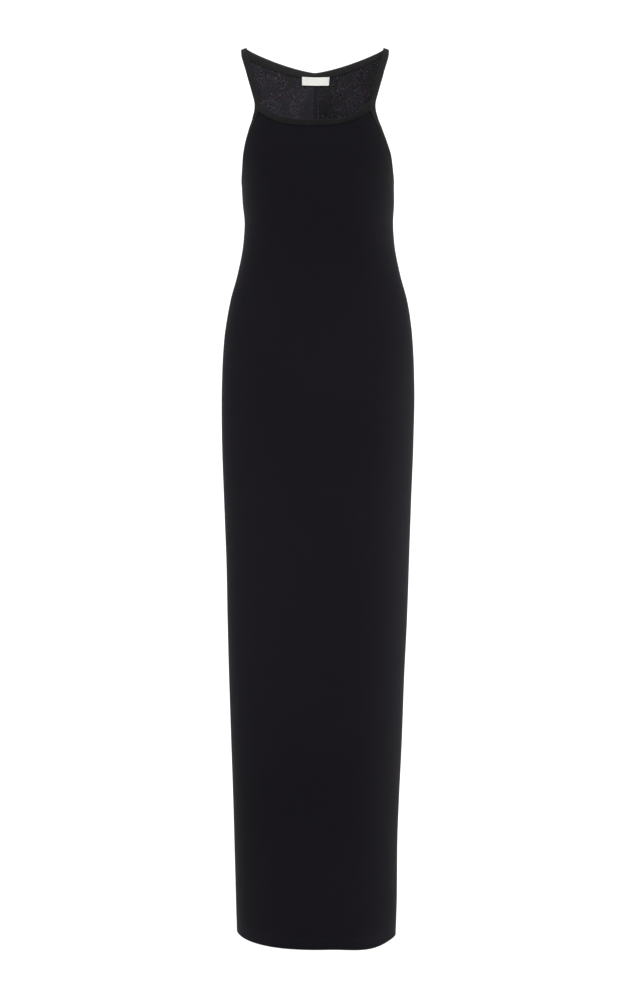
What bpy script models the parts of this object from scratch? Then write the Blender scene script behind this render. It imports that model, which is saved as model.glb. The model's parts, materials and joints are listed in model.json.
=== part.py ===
"""A sleeveless maxi dress, filled out as it is worn and hollow, held at the shoulders.

Metres, +Z up, the front faces -Y, so the wearer's left is +X. The origin is midway between the
two shoulder crests, where the wearer's shoulders hold the straps. Every drop is measured down
from there.

Each piece that is cut and sewn is a closed shell of its own, and a sewn seam is a gap of
SEAM_GAP between two shells.
"""

import math
from collections import namedtuple

import bmesh
import bpy
from mathutils import Vector

MM = 0.001

# The cloth
PANEL_WALL = 1.2 * MM
BINDING_WALL = 2.4 * MM  # a strip folded over the raw edge, so four layers of a thin jersey
BINDING_ROUND = 0.8 * MM  # how far the folded edges of a binding are rounded
SEAM_GAP = 0.3 * MM

# Lengths down from the shoulder crest
LENGTH = 1461 * MM
HEM_DIP = 5 * MM  # the hem hangs this much lower at the wearer's left of the front
HEM_DIP_ANGLE = math.radians(42)
HEM_DIP_REACH = math.radians(35)
HEM_RISE = 5.4 * MM  # and this much higher at the wearer's right side seam
HEM_RISE_REACH = math.radians(70)
UNDERARM_DROP = 221 * MM  # the outer edge of the armhole binding at the side seam
ARMHOLE_BINDING = 10 * MM

# The shoulders: the cloth arches over them, and they slope down and out from the neck
ARCH_HEIGHT = 100 * MM
ARCH_POWER = 1.7
CREST_AWAY = 110.5 * MM  # how far from the middle the crest is level with the origin
SHOULDER_SLOPE = math.tan(math.radians(22))

# Cross-sections over the outside of the cloth, in mm: drop, half of the breadth, depth forward
# and backward of the side seams, and how far the section is off to the wearer's left. The last
# column is how square the section is: 2 is an ellipse.
Section = namedtuple("Section", "drop half_breadth front back off squareness")
SECTIONS = [
    Section(0, 150, 76, 70, 0, 2.3),
    Section(50, 141, 77, 74, 0, 2.4),
    Section(67, 132, 77, 77, 0, 2.5),
    Section(84, 122, 77.5, 80.5, 0, 2.7),
    Section(108, 110.8, 81, 85, 0, 2.95),
    Section(127, 110, 87, 89, 0.3, 3.0),
    Section(146, 114.8, 92, 92.5, 0.9, 3.0),
    Section(165, 120, 98.5, 94, 1.8, 2.8),
    Section(188, 124.3, 108, 95.5, 3.4, 2.5),
    Section(228, 125, 118, 93, 4.6, 2.3),
    Section(257, 124.5, 122, 90, 5.5, 2.3),
    Section(290, 122, 119, 82, 6.3, 2.3),
    Section(323, 124, 109, 75, 6.3, 2.3),
    Section(376, 134, 96, 68, 6.3, 2.25),
    Section(416, 145, 93, 74, 6.3, 2.2),
    Section(449, 151, 95, 84, 6, 2.2),
    Section(482, 155, 99, 95, 5.5, 2.2),
    Section(531, 157.7, 104, 109, 5.2, 2.2),
    Section(581, 158.6, 106, 117, 5, 2.2),
    Section(647, 157.6, 106, 116, 4.5, 2.15),
    Section(746, 154, 106, 109, 4.3, 2.15),
    Section(845, 150.4, 105, 104, 4.5, 2.1),
    Section(944, 147.7, 104, 100, 3.8, 2.1),
    Section(1043, 144, 103, 98, 2.7, 2.1),
    Section(1142, 140.6, 102, 97, 2.5, 2.05),
    Section(1241, 136.5, 101, 96, 1.7, 2.0),
    Section(1307, 134.3, 101, 96, 1.3, 2.0),
    Section(1406, 132.4, 100, 95, 2.0, 2.0),
    Section(1470, 130.2, 100, 95, 1.8, 2.0),
]

# The outer edge of the armhole binding, in mm: drop, and how far from the middle
Edge = namedtuple("Edge", "drop away")
FRONT_ARMHOLE = [
    Edge(216.5, 123.9),
    Edge(210, 123),
    Edge(200, 121.8),
    Edge(188, 120.2),
    Edge(177, 117.7),
    Edge(165, 114.3),
    Edge(152, 109.8),
    Edge(138, 104.9),
    Edge(127, 101),
    Edge(118, 98.4),
    Edge(108, 97.5),
    Edge(98, 98.9),
    Edge(84, 102.8),
    Edge(67, 107.6),
    Edge(50, 112.2),
    Edge(34, 116.8),
    Edge(21, 120.2),
    Edge(11, 121.4),
]
BACK_ARMHOLE = [
    Edge(11, 120.6),
    Edge(20, 117.8),
    Edge(34, 113),
    Edge(50, 107.8),
    Edge(66, 103.2),
    Edge(81, 100.6),
    Edge(99, 99.5),
    Edge(118, 99.8),
    Edge(137, 103.8),
    Edge(156, 110.2),
    Edge(175, 116),
    Edge(193, 120),
    Edge(208, 122.8),
    Edge(216, 124),
]
CREST_EDGE_AWAY = 121.8 * MM  # the outer edge of the strap, on the crest

# The label and the centre-back seam allowance, both inside the back
LABEL_WIDTH = 47 * MM
LABEL_HEIGHT = 13.2 * MM
LABEL_WALL = 1.0 * MM
LABEL_DROP = 30.9 * MM
LABEL_OFF = 1.4 * MM
ALLOWANCE_WIDTH = 8 * MM  # both allowances are pressed to the wearer's left
ALLOWANCE_OVER = 1.5 * MM  # and cover the seam by this much
ALLOWANCE_WALL = 1.0 * MM
ALLOWANCE_SHORT = 22 * MM  # it stops at the top of the turned-up hem

# An armhole binding is drawn out wider over the front of the chest: by how much on the wearer's
# right and left, and where
BINDING_SPREAD = (1.5 * MM, 4.5 * MM)
SPREAD_DROP = 128 * MM
SPREAD_REACH = 60 * MM

# The neck bindings: the drop of the neck edge in the middle, at the wearer's right strap and at the
# left one, how square its curve is, and how wide the binding is in the middle. Then the drops of
# its lower edge at the straps, and how square that is on the right and on the left. The columns
# are each half's, in the binding and in the panel below it.
Neck = namedtuple("Neck", "node facing drop side curve wide side_low curve_low columns")
FRONT_NECK = Neck(
    "neck_binding_front", -1, 138.5 * MM, (104 * MM, 104 * MM), 3.3,
    11 * MM, (119.8 * MM, 119.8 * MM), (3.0, 2.45), 14,
)
BACK_NECK = Neck(
    "neck_binding_back", 1, 24.3 * MM, (1.3 * MM, 2.3 * MM), 1.3,
    9.3 * MM, (13.5 * MM, 10.1 * MM), (1.6, 1.6), 13,
)

# How finely the shells are divided
SKIRT_ROWS = 24
# Cuts across an armhole binding: from the underarm up the front to the neck binding's lower and
# upper edge and the crest, and down the back past the same two edges to the underarm
ARMHOLE_CUTS = (18, 1, 15, 1, 3, 28)
FRONT_UPPER, FRONT_LOWER = ARMHOLE_CUTS[2], ARMHOLE_CUTS[2] + ARMHOLE_CUTS[1]  # cuts from the crest
BACK_UPPER, BACK_LOWER = ARMHOLE_CUTS[3], ARMHOLE_CUTS[3] + ARMHOLE_CUTS[4]
FINE = 60  # steps along a row while its columns are spaced

BLACK = (0.0100, 0.0092, 0.0116, 1.0)
BINDING_BLACK = (0.0140, 0.0132, 0.0150, 1.0)
LABEL_WHITE = (0.70, 0.68, 0.62, 1.0)


def spline(rows, column, at):
    """The value of a column of a table at a drop in mm, through its rows with no overshoot."""
    xs = [r[0] for r in rows]
    ys = [r[column] for r in rows]
    if at <= xs[0]:
        return ys[0]
    if at >= xs[-1]:
        return ys[-1]
    i = max(k for k in range(len(xs) - 1) if xs[k] <= at)

    def slope(k):
        if k == 0 or k == len(xs) - 1:
            return 0.0 if k == 0 else (ys[-1] - ys[-2]) / (xs[-1] - xs[-2])
        before = (ys[k] - ys[k - 1]) / (xs[k] - xs[k - 1])
        after = (ys[k + 1] - ys[k]) / (xs[k + 1] - xs[k])
        if before * after <= 0:
            return 0.0
        return 2 * before * after / (before + after)

    h = xs[i + 1] - xs[i]
    t = (at - xs[i]) / h
    return (
        (2 * t**3 - 3 * t**2 + 1) * ys[i]
        + (t**3 - 2 * t**2 + t) * h * slope(i)
        + (-2 * t**3 + 3 * t**2) * ys[i + 1]
        + (t**3 - t**2) * h * slope(i + 1)
    )


def section(drop):
    """Half breadth, front depth and back depth of the cloth's middle surface at a drop, its
    offset and its squareness."""
    at = drop / MM
    half, front, back = (spline(SECTIONS, k, at) * MM - PANEL_WALL / 2 for k in (1, 2, 3))
    return half, front, back, spline(SECTIONS, 4, at) * MM, spline(SECTIONS, 5, at)


def below_ridge(away, drop):
    """How far a point is below the sloping shoulder ridge."""
    return drop - (away - CREST_AWAY) * SHOULDER_SLOPE


def arch(away, drop):
    """How much of its full depth the cloth has there: 0 on the shoulder ridge, 1 below the arch."""
    g = min(max(below_ridge(away, drop) / ARCH_HEIGHT, 0.0), 1.0)
    return (1 - (1 - g) ** ARCH_POWER) ** (1 / ARCH_POWER)


def cloth(angle, drop):
    """The cloth's middle surface. Angle 0 is the front middle, pi/2 the wearer's left side seam
    and pi the back middle."""
    half, front, back, off, power = section(drop)
    s, c = math.sin(angle), math.cos(angle)
    away = half * abs(s) ** (2 / power)
    depth = (front if c > 0 else back) * abs(c) ** (2 / power)
    x = off + math.copysign(away, s)
    y = -math.copysign(depth, c) * arch(away, drop)
    return Vector((x, y, -drop))


def cloth_at(away, drop, facing):
    """The cloth's middle surface this far from the middle: facing is -1 at the front, 1 at the back."""
    half, front, back, off, power = section(drop)
    t = min(abs(away) / half, 1.0)
    depth = (front if facing < 0 else back) * (1 - t**power) ** (1 / power)
    return Vector((off + away, facing * depth * arch(abs(away), drop), -drop))


def outside(p):
    """How far a point is off the cloth's middle surface, roughly, in metres: more than 0 outside."""
    half, front, back, off, power = section(-p.z)
    away = abs(p.x - off)
    depth = front if p.y < 0 else back
    g = below_ridge(away, -p.z) / ARCH_HEIGHT
    u = away / half
    if g < 1 and u < 0.95:
        full = depth * (1 - u**power) ** (1 / power)
        v = abs(p.y) / full
        return ((v**ARCH_POWER + (1 - g) ** ARCH_POWER) ** (1 / ARCH_POWER) - 1) * full
    return ((u**power + (abs(p.y) / depth) ** power) ** (1 / power) - 1) * depth


def slope_of(p):
    """The gradient of outside()."""
    step = 0.2 * MM
    return Vector(
        [
            (outside(p + step * a) - outside(p - step * a)) / (2 * step)
            for a in (Vector((1, 0, 0)), Vector((0, 1, 0)), Vector((0, 0, 1)))
        ]
    )


def normal(p):
    return slope_of(p).normalized()


def settle(p):
    """The point of the cloth's middle surface nearest to p, for a p that is close to it."""
    for _ in range(5):
        g = slope_of(p)
        p = p - g * (outside(p) / max(g.length_squared, 1e-9))
    return p


def angle_of(p):
    """The angle of a point of the cloth, as cloth() takes it."""
    half, front, back, off, power = section(-p.z)
    away = p.x - off
    depth = (front if p.y < 0 else back) * max(arch(abs(away), -p.z), 1e-6)
    u = min(abs(away) / half, 1.0) ** (power / 2)
    v = min(abs(p.y) / depth, 1.0) ** (power / 2)
    return math.atan2(math.copysign(u, away), -math.copysign(v, p.y))


def lengths(points):
    """The distance along a line of points to each of them."""
    run = [0.0]
    for a, b in zip(points, points[1:]):
        run.append(run[-1] + (b - a).length)
    return run


def at_length(points, run, at):
    """The point this far along a line of points."""
    if at <= 0:
        return points[0].copy()
    for k in range(len(points) - 1):
        if at <= run[k + 1]:
            return points[k].lerp(points[k + 1], (at - run[k]) / max(run[k + 1] - run[k], 1e-12))
    return points[-1].copy()


def respaced(points, count):
    """The same line as count + 1 points at even distances."""
    run = lengths(points)
    return [at_length(points, run, run[-1] * k / count) for k in range(count + 1)]


def rounded_loop(knots, steps):
    """A closed smooth curve through knots, with this many points between two knots."""
    out = []
    n = len(knots)
    for i in range(n):
        p0, p1, p2, p3 = (knots[(i + k) % n] for k in (-1, 0, 1, 2))
        t0, t1 = 0.0, (p1 - p0).length ** 0.5
        t2 = t1 + (p2 - p1).length ** 0.5
        t3 = t2 + (p3 - p2).length ** 0.5
        for k in range(steps):
            t = t1 + (t2 - t1) * k / steps
            a1 = p0 * ((t1 - t) / (t1 - t0)) + p1 * ((t - t0) / (t1 - t0))
            a2 = p1 * ((t2 - t) / (t2 - t1)) + p2 * ((t - t1) / (t2 - t1))
            a3 = p2 * ((t3 - t) / (t3 - t2)) + p3 * ((t - t2) / (t3 - t2))
            b1 = a1 * ((t2 - t) / (t2 - t0)) + a2 * ((t - t0) / (t2 - t0))
            b2 = a2 * ((t3 - t) / (t3 - t1)) + a3 * ((t - t1) / (t3 - t1))
            out.append(b1 * ((t2 - t) / (t2 - t1)) + b2 * ((t - t1) / (t2 - t1)))
    return out


def binding_spread(p, side):
    """How much wider than on the strap an armhole binding is at a point of its outer edge."""
    if p.y > 0:
        return 0
    off = min(abs(p.z + SPREAD_DROP) / SPREAD_REACH, 1)
    return BINDING_SPREAD[side > 0] * math.cos(off * math.pi / 2) ** 2


def armhole(side):
    """Three closed lines with as many points each, from the underarm up the front, over the
    crest and down the back: the outer and inner edges of the binding, and the panel's edge."""
    knots = [cloth(side * math.pi / 2, UNDERARM_DROP)]
    knots += [cloth_at(side * e.away * MM, e.drop * MM, -1) for e in FRONT_ARMHOLE]
    crest = (CREST_EDGE_AWAY - CREST_AWAY) * SHOULDER_SLOPE
    knots.append(Vector((side * CREST_EDGE_AWAY, 0, -crest)))
    knots += [cloth_at(side * e.away * MM, e.drop * MM, 1) for e in BACK_ARMHOLE]
    outer = rounded_loop(knots, 16)
    n = len(outer)
    inner, panel = [], []
    for k, p in enumerate(outer):
        along = (outer[(k + 2) % n] - outer[k - 2]).normalized()
        inward = normal(p).cross(along).normalized() * side
        width = ARMHOLE_BINDING + binding_spread(p, side)
        inner.append(settle(p + inward * width))
        panel.append(settle(p + inward * (width + SEAM_GAP)))
    return outer, inner, panel


def grid_object(name, rows, wall, colour, roughness):
    """A shell of even thickness on a grid of points."""
    mesh = bpy.data.meshes.new(name)
    wide = len(rows[0])
    points = [p for row in rows for p in row]
    faces = [
        (r * wide + c, r * wide + c + 1, (r + 1) * wide + c + 1, (r + 1) * wide + c)
        for r in range(len(rows) - 1)
        for c in range(wide - 1)
    ]
    mesh.from_pydata(points, [], faces)
    thing = finish(name, mesh, colour, roughness)
    solid = thing.modifiers.new("wall", "SOLIDIFY")
    solid.thickness = wall
    solid.offset = 0
    return thing


def finish(name, mesh, colour, roughness):
    """Turn the faces outward, link the object and give it a material of its own."""
    rough = bmesh.new()
    rough.from_mesh(mesh)
    bmesh.ops.recalc_face_normals(rough, faces=rough.faces)
    rough.to_mesh(mesh)
    rough.free()
    for face in mesh.polygons:
        face.use_smooth = True
    mesh.update()
    thing = bpy.data.objects.new(name, mesh)
    bpy.data.collections["maxi_dress"].objects.link(thing)
    material = bpy.data.materials.new(name)
    material.use_nodes = True
    shader = material.node_tree.nodes["Principled BSDF"]
    shader.inputs["Base Color"].default_value = colour
    shader.inputs["Roughness"].default_value = roughness
    mesh.materials.append(material)
    return thing


def strip_object(name, near, far, closed, colour):
    """A binding: a folded strip with rounded edges between two lines on the cloth. Each is
    SEAM_GAP clear of the panel beside it already."""
    count = len(near)
    half = BINDING_WALL / 2
    profiles = []
    for k in range(count):
        a, b = near[k], far[k]
        before, after = (k - 1, (k + 1) % count) if closed else (max(k - 1, 0), min(k + 1, count - 1))
        along = (near[after] + far[after] - near[before] - far[before]).normalized()
        across = (b - a).normalized()
        up = along.cross(across).normalized()
        middle = settle((a + b) / 2)
        r = across * BINDING_ROUND
        profiles.append(
            [
                a - up * half * 0.45,
                a + r - up * half,
                middle - up * half,
                b - r - up * half,
                b - up * half * 0.45,
                b + up * half * 0.45,
                b - r + up * half,
                middle + up * half,
                a + r + up * half,
                a + up * half * 0.45,
            ]
        )
    wide = len(profiles[0])
    faces = []
    for k in range(count if closed else count - 1):
        m = (k + 1) % count
        for c in range(wide):
            d = (c + 1) % wide
            faces.append((k * wide + c, k * wide + d, m * wide + d, m * wide + c))
    if not closed:
        faces.append(tuple(range(wide)))
        faces.append(tuple(range((count - 1) * wide, count * wide))[::-1])
    mesh = bpy.data.meshes.new(name)
    mesh.from_pydata([p for row in profiles for p in row], [], faces)
    return finish(name, mesh, colour, 0.7)


def stations(panel, side):
    """Where an armhole binding is cut across, as places in its lines. It is cut where a neck
    binding ends on it and where the panels begin, and at even distances between those."""
    n = len(panel)
    top = max(range(n), key=lambda k: panel[k].z)
    marks = [0, top, n]
    for drop, first, last in (
        (FRONT_NECK.side[side > 0], 0, top),
        (FRONT_NECK.side_low[side > 0], 0, top),
        (BACK_NECK.side[side > 0], top, n),
        (BACK_NECK.side_low[side > 0], top, n),
    ):
        marks.append(min(range(first, last), key=lambda k: abs(panel[k].z + drop)))
    marks.sort()
    run = lengths(panel + panel[:1])
    places = []
    for a, b, count in zip(marks, marks[1:], ARMHOLE_CUTS):
        for k in range(count):
            at = run[a] + (run[b] - run[a]) * k / count
            places.append(min(range(a, b), key=lambda m: abs(run[m] - at)))
    return places


def falling(loop, facing):
    """The front (facing -1) or back (1) of a closed armhole line, from the crest to the underarm."""
    top = max(range(len(loop)), key=lambda k: loop[k].z)
    return loop[: top + 1][::-1] if facing < 0 else loop[top:] + loop[:1]


def hem_shift(angle, drop):
    """How much lower than its drop a point of the skirt hangs: less than 0 where it is higher."""
    down = min(max((drop / LENGTH - 0.8) / 0.2, 0.0), 1.0)
    dip = min(abs(angle - HEM_DIP_ANGLE) / HEM_DIP_REACH, 1.0)
    rise = min(abs(angle + math.pi / 2) / HEM_RISE_REACH, 1.0)
    low, high = (math.cos(off * math.pi / 2) ** 2 for off in (dip, rise))
    return (HEM_DIP * low - HEM_RISE * high) * down**2


def hung(row):
    """A row of the skirt, each point as much lower or higher as the hem is below it."""
    out = []
    for p in row:
        angle, drop = angle_of(p), -p.z
        out.append(p + cloth(angle, drop + hem_shift(angle, drop)) - cloth(angle, drop))
    return out


def curved_row(side_point, middle_drop, curve, facing, count):
    """A row of a panel from its middle to side_point: level in the middle, curving up to it."""
    side_drop, end = -side_point.z, angle_of(side_point)
    start = 0.0 if facing < 0 else math.copysign(math.pi, end)
    square = section(side_drop)[4]
    points = []
    for k in range(FINE + 1):
        angle = start + (end - start) * k / FINE
        away = abs(math.sin(angle) / math.sin(end)) ** (2 / square)  # as a share of the side's
        drop = middle_drop + (side_drop - middle_drop) * away**curve
        points.append(cloth(angle, drop))
    points[-1] = side_point
    return respaced(points, count)


def panel_rows(armhole_side, top_middle, curve, facing, side, columns):
    """The rows of half a panel, from its middle to one side, from the neck to the hem."""
    rows = []
    low = -armhole_side[-1].z
    middle_at_low = low + (30 * MM if facing < 0 else 12 * MM)
    run = lengths(armhole_side)
    for k, p in enumerate(armhole_side):
        t = run[k] / run[-1]
        middle = top_middle + (middle_at_low - top_middle) * t
        bend = curve + (2.2 - curve) * t
        rows.append(curved_row(p, middle, bend, facing, columns))
    lift = middle_at_low - low
    seam = facing * SEAM_GAP / 2
    for k in range(1, SKIRT_ROWS + 1):
        t = k / SKIRT_ROWS
        share = 0.32 * t + 0.68 * t * t
        drop = low + (LENGTH - low) * share
        p = cloth(side * math.pi / 2, drop)
        p.y = seam
        middle = drop + lift * max(0.0, 1 - (drop - low) / (170 * MM)) ** 1.5
        rows.append(hung(curved_row(p, middle, 2.2, facing, columns)))
    return rows


def cut_rows(rows, top):
    """The two points nearest the centre-back seam in each row, from the drop top to just above
    the hem's turned-up edge."""
    pairs = [row[:2] for row in rows]
    below = [k for k in range(len(pairs)) if -pairs[k][0].z > top]
    first = below[0]
    t = (top + pairs[first - 1][0].z) / (pairs[first - 1][0].z - pairs[first][0].z)
    start = [a.lerp(b, t) for a, b in zip(pairs[first - 1], pairs[first])]
    t = ALLOWANCE_SHORT / (pairs[-2][0].z - pairs[-1][0].z)
    last = [b.lerp(a, t) for a, b in zip(pairs[-2], pairs[-1])]
    return [start] + [pairs[k] for k in below[:-1]] + [last]


def to_side_seam(line, facing):
    """A panel's armhole edge: from just below the neck binding to the side seam, which it meets
    half of SEAM_GAP short of the other panel."""
    lower = FRONT_LOWER if facing < 0 else BACK_LOWER
    start, end = line[lower], line[-1].copy()
    start = start + (line[lower + 1] - start).normalized() * SEAM_GAP * 1.4
    end.y = facing * SEAM_GAP / 2
    return [start] + line[lower + 1 : -1] + [end]


def build():
    lines = {}
    for side, which in ((1, "left"), (-1, "right")):
        outer, inner, panel = armhole(side)
        cuts = stations(panel, side)
        outer, inner, panel = ([line[k] for k in cuts] for line in (outer, inner, panel))
        strip_object("armhole_binding_" + which, outer, inner, True, BINDING_BLACK)
        for facing in (-1, 1):
            lines[side, facing] = falling(panel, facing)

    front = {}
    for side in (1, -1):
        line = to_side_seam(lines[side, -1], -1)
        top = FRONT_NECK.drop + FRONT_NECK.wide + SEAM_GAP
        bend = FRONT_NECK.curve_low[side > 0]
        front[side] = panel_rows(line, top, bend, -1, side, FRONT_NECK.columns)
    whole = [r[::-1] + l[1:] for r, l in zip(front[-1], front[1])]
    grid_object("front", whole, PANEL_WALL, BLACK, 0.75)

    backs = {}
    for side, which in ((1, "left"), (-1, "right")):
        line = to_side_seam(lines[side, 1], 1)
        top = BACK_NECK.drop + BACK_NECK.wide + SEAM_GAP
        rows = panel_rows(line, top, BACK_NECK.curve_low[side > 0], 1, side, BACK_NECK.columns)
        for row in rows:
            row[0].x += side * SEAM_GAP / 2
        backs[side] = rows
        grid_object("back_" + which, rows, PANEL_WALL, BLACK, 0.75)

    for neck in (FRONT_NECK, BACK_NECK):
        sides = []
        high, low = (FRONT_UPPER, FRONT_LOWER) if neck.facing < 0 else (BACK_UPPER, BACK_LOWER)
        for side in (-1, 1):
            line = lines[side, neck.facing]
            upper = curved_row(line[high], neck.drop, neck.curve, neck.facing, neck.columns)
            bottom = neck.drop + neck.wide
            bend = neck.curve_low[side > 0]
            lower = curved_row(line[low], bottom, bend, neck.facing, neck.columns)
            for line in (upper, lower):  # a thick binding needs a little more room than a panel
                line[-1] += (line[-2] - line[-1]).normalized() * SEAM_GAP * 0.7
            sides.append((upper, lower))
        upper = sides[0][0][::-1] + sides[1][0][1:]
        lower = sides[0][1][::-1] + sides[1][1][1:]
        strip_object(neck.node, upper, lower, False, BINDING_BLACK)

    inset = BINDING_WALL / 2 + SEAM_GAP + LABEL_WALL / 2
    rows = []
    for r in range(5):
        drop = LABEL_DROP + LABEL_HEIGHT * r / 4
        row = []
        for c in range(11):
            p = cloth_at(LABEL_OFF + LABEL_WIDTH * (c / 10 - 0.5), drop, 1)
            row.append(p - normal(p) * inset)
        rows.append(row)
    grid_object("neck_label", rows, LABEL_WALL, LABEL_WHITE, 0.8)

    # The allowance has the panels' own rows, so it lies as flat on them as they are.
    inset = PANEL_WALL / 2 + SEAM_GAP + ALLOWANCE_WALL / 2
    right, left = (cut_rows(backs[side], LABEL_DROP + LABEL_HEIGHT + 2 * SEAM_GAP) for side in (-1, 1))
    rows = []
    for there, here in zip(right, left):
        over = there[0] + (there[1] - there[0]).normalized() * ALLOWANCE_OVER
        reach = here[0] + (here[1] - here[0]).normalized() * (ALLOWANCE_WIDTH - ALLOWANCE_OVER)
        rows.append([p - normal(p) * inset for p in (over, here[0], reach)])
    grid_object("centre_back_seam", rows, ALLOWANCE_WALL, BLACK, 0.75)


for old in list(bpy.data.objects):
    bpy.data.objects.remove(old)
bpy.context.scene.collection.children.link(bpy.data.collections.new("maxi_dress"))
build()
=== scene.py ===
"""A sleeveless maxi dress in black jersey, sewn and finished around its packed solids.

Metres, +Z up, the front faces -Y and the wearer's left is +X. The origin is midway between the
shoulder crests, and every drop is measured down from there. The cloth lies on the same worn
form as the solids, so its sections and armholes are repeated here.
"""

import json
import math
from collections import namedtuple

import bmesh
import bpy
import numpy as np
from bpy.props import FloatProperty, FloatVectorProperty, PointerProperty
from bpy.types import Operator, Panel, PropertyGroup
from mathutils import Color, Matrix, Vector

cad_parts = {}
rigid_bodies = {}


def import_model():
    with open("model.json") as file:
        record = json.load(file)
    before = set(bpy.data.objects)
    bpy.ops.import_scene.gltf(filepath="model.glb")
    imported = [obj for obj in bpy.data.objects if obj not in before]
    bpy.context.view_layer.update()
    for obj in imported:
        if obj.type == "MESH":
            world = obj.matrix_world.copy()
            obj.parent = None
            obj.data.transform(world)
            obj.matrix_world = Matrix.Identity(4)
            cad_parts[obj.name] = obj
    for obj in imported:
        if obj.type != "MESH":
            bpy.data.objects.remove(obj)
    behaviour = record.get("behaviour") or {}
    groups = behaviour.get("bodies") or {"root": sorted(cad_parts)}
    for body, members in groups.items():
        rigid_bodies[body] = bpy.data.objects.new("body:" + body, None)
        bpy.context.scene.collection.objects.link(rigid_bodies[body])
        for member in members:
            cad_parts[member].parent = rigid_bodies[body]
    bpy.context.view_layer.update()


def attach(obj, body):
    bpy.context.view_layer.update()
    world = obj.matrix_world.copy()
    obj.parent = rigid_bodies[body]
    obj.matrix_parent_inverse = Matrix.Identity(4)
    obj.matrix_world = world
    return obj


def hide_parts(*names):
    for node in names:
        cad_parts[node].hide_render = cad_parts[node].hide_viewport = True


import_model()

bl_info = {
    "name": "Maxi dress",
    "version": (1, 0, 0),
    "blender": (4, 5, 0),
    "location": "3D View > Sidebar > Dress",
    "description": "Sews a sleeveless jersey maxi dress around its packed solids",
    "category": "Add Mesh",
}

MM = 0.001
SOLID_WALL = 1.2 * MM
SEAM_GAP = 0.3 * MM
SIDES = {"left": 1, "right": -1}

# ---- the worn form, as in the solids

LENGTH = 1461 * MM
UNDERARM_DROP = 221 * MM
ARMHOLE_BINDING = 10 * MM
HEM_DIP = 5 * MM
HEM_DIP_ANGLE = math.radians(42)
HEM_DIP_REACH = math.radians(35)
HEM_RISE = 5.4 * MM
HEM_RISE_REACH = math.radians(70)
ARCH_HEIGHT = 100 * MM
ARCH_POWER = 1.7
CREST_AWAY = 110.5 * MM
CREST_EDGE_AWAY = 121.8 * MM
SHOULDER_SLOPE = math.tan(math.radians(22))

# Sections over the outside of the cloth, in mm: drop, half of the breadth, depth forward and
# backward of the side seams, how far off to the wearer's left, and how square it is.
SECTIONS = np.array([
    (0, 150, 76, 70, 0, 2.3),
    (50, 141, 77, 74, 0, 2.4),
    (67, 132, 77, 77, 0, 2.5),
    (84, 122, 77.5, 80.5, 0, 2.7),
    (108, 110.8, 81, 85, 0, 2.95),
    (127, 110, 87, 89, 0.3, 3.0),
    (146, 114.8, 92, 92.5, 0.9, 3.0),
    (165, 120, 98.5, 94, 1.8, 2.8),
    (188, 124.3, 108, 95.5, 3.4, 2.5),
    (228, 125, 118, 93, 4.6, 2.3),
    (257, 124.5, 122, 90, 5.5, 2.3),
    (290, 122, 119, 82, 6.3, 2.3),
    (323, 124, 109, 75, 6.3, 2.3),
    (376, 134, 96, 68, 6.3, 2.25),
    (416, 145, 93, 74, 6.3, 2.2),
    (449, 151, 95, 84, 6, 2.2),
    (482, 155, 99, 95, 5.5, 2.2),
    (531, 157.7, 104, 109, 5.2, 2.2),
    (581, 158.6, 106, 117, 5, 2.2),
    (647, 157.6, 106, 116, 4.5, 2.15),
    (746, 154, 106, 109, 4.3, 2.15),
    (845, 150.4, 105, 104, 4.5, 2.1),
    (944, 147.7, 104, 100, 3.8, 2.1),
    (1043, 144, 103, 98, 2.7, 2.1),
    (1142, 140.6, 102, 97, 2.5, 2.05),
    (1241, 136.5, 101, 96, 1.7, 2.0),
    (1307, 134.3, 101, 96, 1.3, 2.0),
    (1406, 132.4, 100, 95, 2.0, 2.0),
    (1470, 130.2, 100, 95, 1.8, 2.0),
])

# The armhole binding's outer edge, in mm: drop, and how far from the middle
FRONT_ARMHOLE = [
    (216.5, 123.9), (210, 123), (200, 121.8), (188, 120.2), (177, 117.7), (165, 114.3),
    (152, 109.8), (138, 104.9), (127, 101), (118, 98.4), (108, 97.5), (98, 98.9),
    (84, 102.8), (67, 107.6), (50, 112.2), (34, 116.8), (21, 120.2), (11, 121.4),
]
BACK_ARMHOLE = [
    (11, 120.6), (20, 117.8), (34, 113), (50, 107.8), (66, 103.2), (81, 100.6), (99, 99.5),
    (118, 99.8), (137, 103.8), (156, 110.2), (175, 116), (193, 120), (208, 122.8), (216, 124),
]

# An armhole binding is drawn out wider over the front of the chest: by how much on the wearer's
# right and left, and where
BINDING_SPREAD = (1.5 * MM, 4.5 * MM)
SPREAD_DROP = 128 * MM
SPREAD_REACH = 60 * MM

# The neck bindings in front and behind: drop in the middle, at the wearer's right strap and at the
# left one, how square the curve is, the width in the middle, and the drops at the straps and the
# curves of the lower edge
Neck = namedtuple("Neck", "drop side curve wide side_low curve_low")
NECKS = {
    -1: Neck(138.5 * MM, (104 * MM, 104 * MM), 3.3, 11 * MM, (119.8 * MM, 119.8 * MM), (3.0, 2.45)),
    1: Neck(24.3 * MM, (1.3 * MM, 2.3 * MM), 1.3, 9.3 * MM, (13.5 * MM, 10.1 * MM), (1.6, 1.6)),
}

# Where painted shade darkens the wearer's left back inside, beside the pressed seam allowance
HOLLOW_DROP = 88 * MM
HOLLOW_REACH = 20 * MM

# The folded bindings: share of the width from the free edge, and height of the face in mm
BINDING_FOLD = [
    (0.0, 0.0), (0.004, 0.35), (0.018, 0.72), (0.05, 1.02), (0.11, 1.2), (0.22, 1.31),
    (0.38, 1.36), (0.54, 1.3), (0.66, 1.12), (0.73, 0.92), (0.78, 0.84), (0.83, 0.94),
    (0.89, 1.1), (0.945, 1.08), (0.98, 0.86), (1.0, 0.5),
]
STITCH_ROW = 10
STITCH_SHARE = BINDING_FOLD[STITCH_ROW][0]

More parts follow.
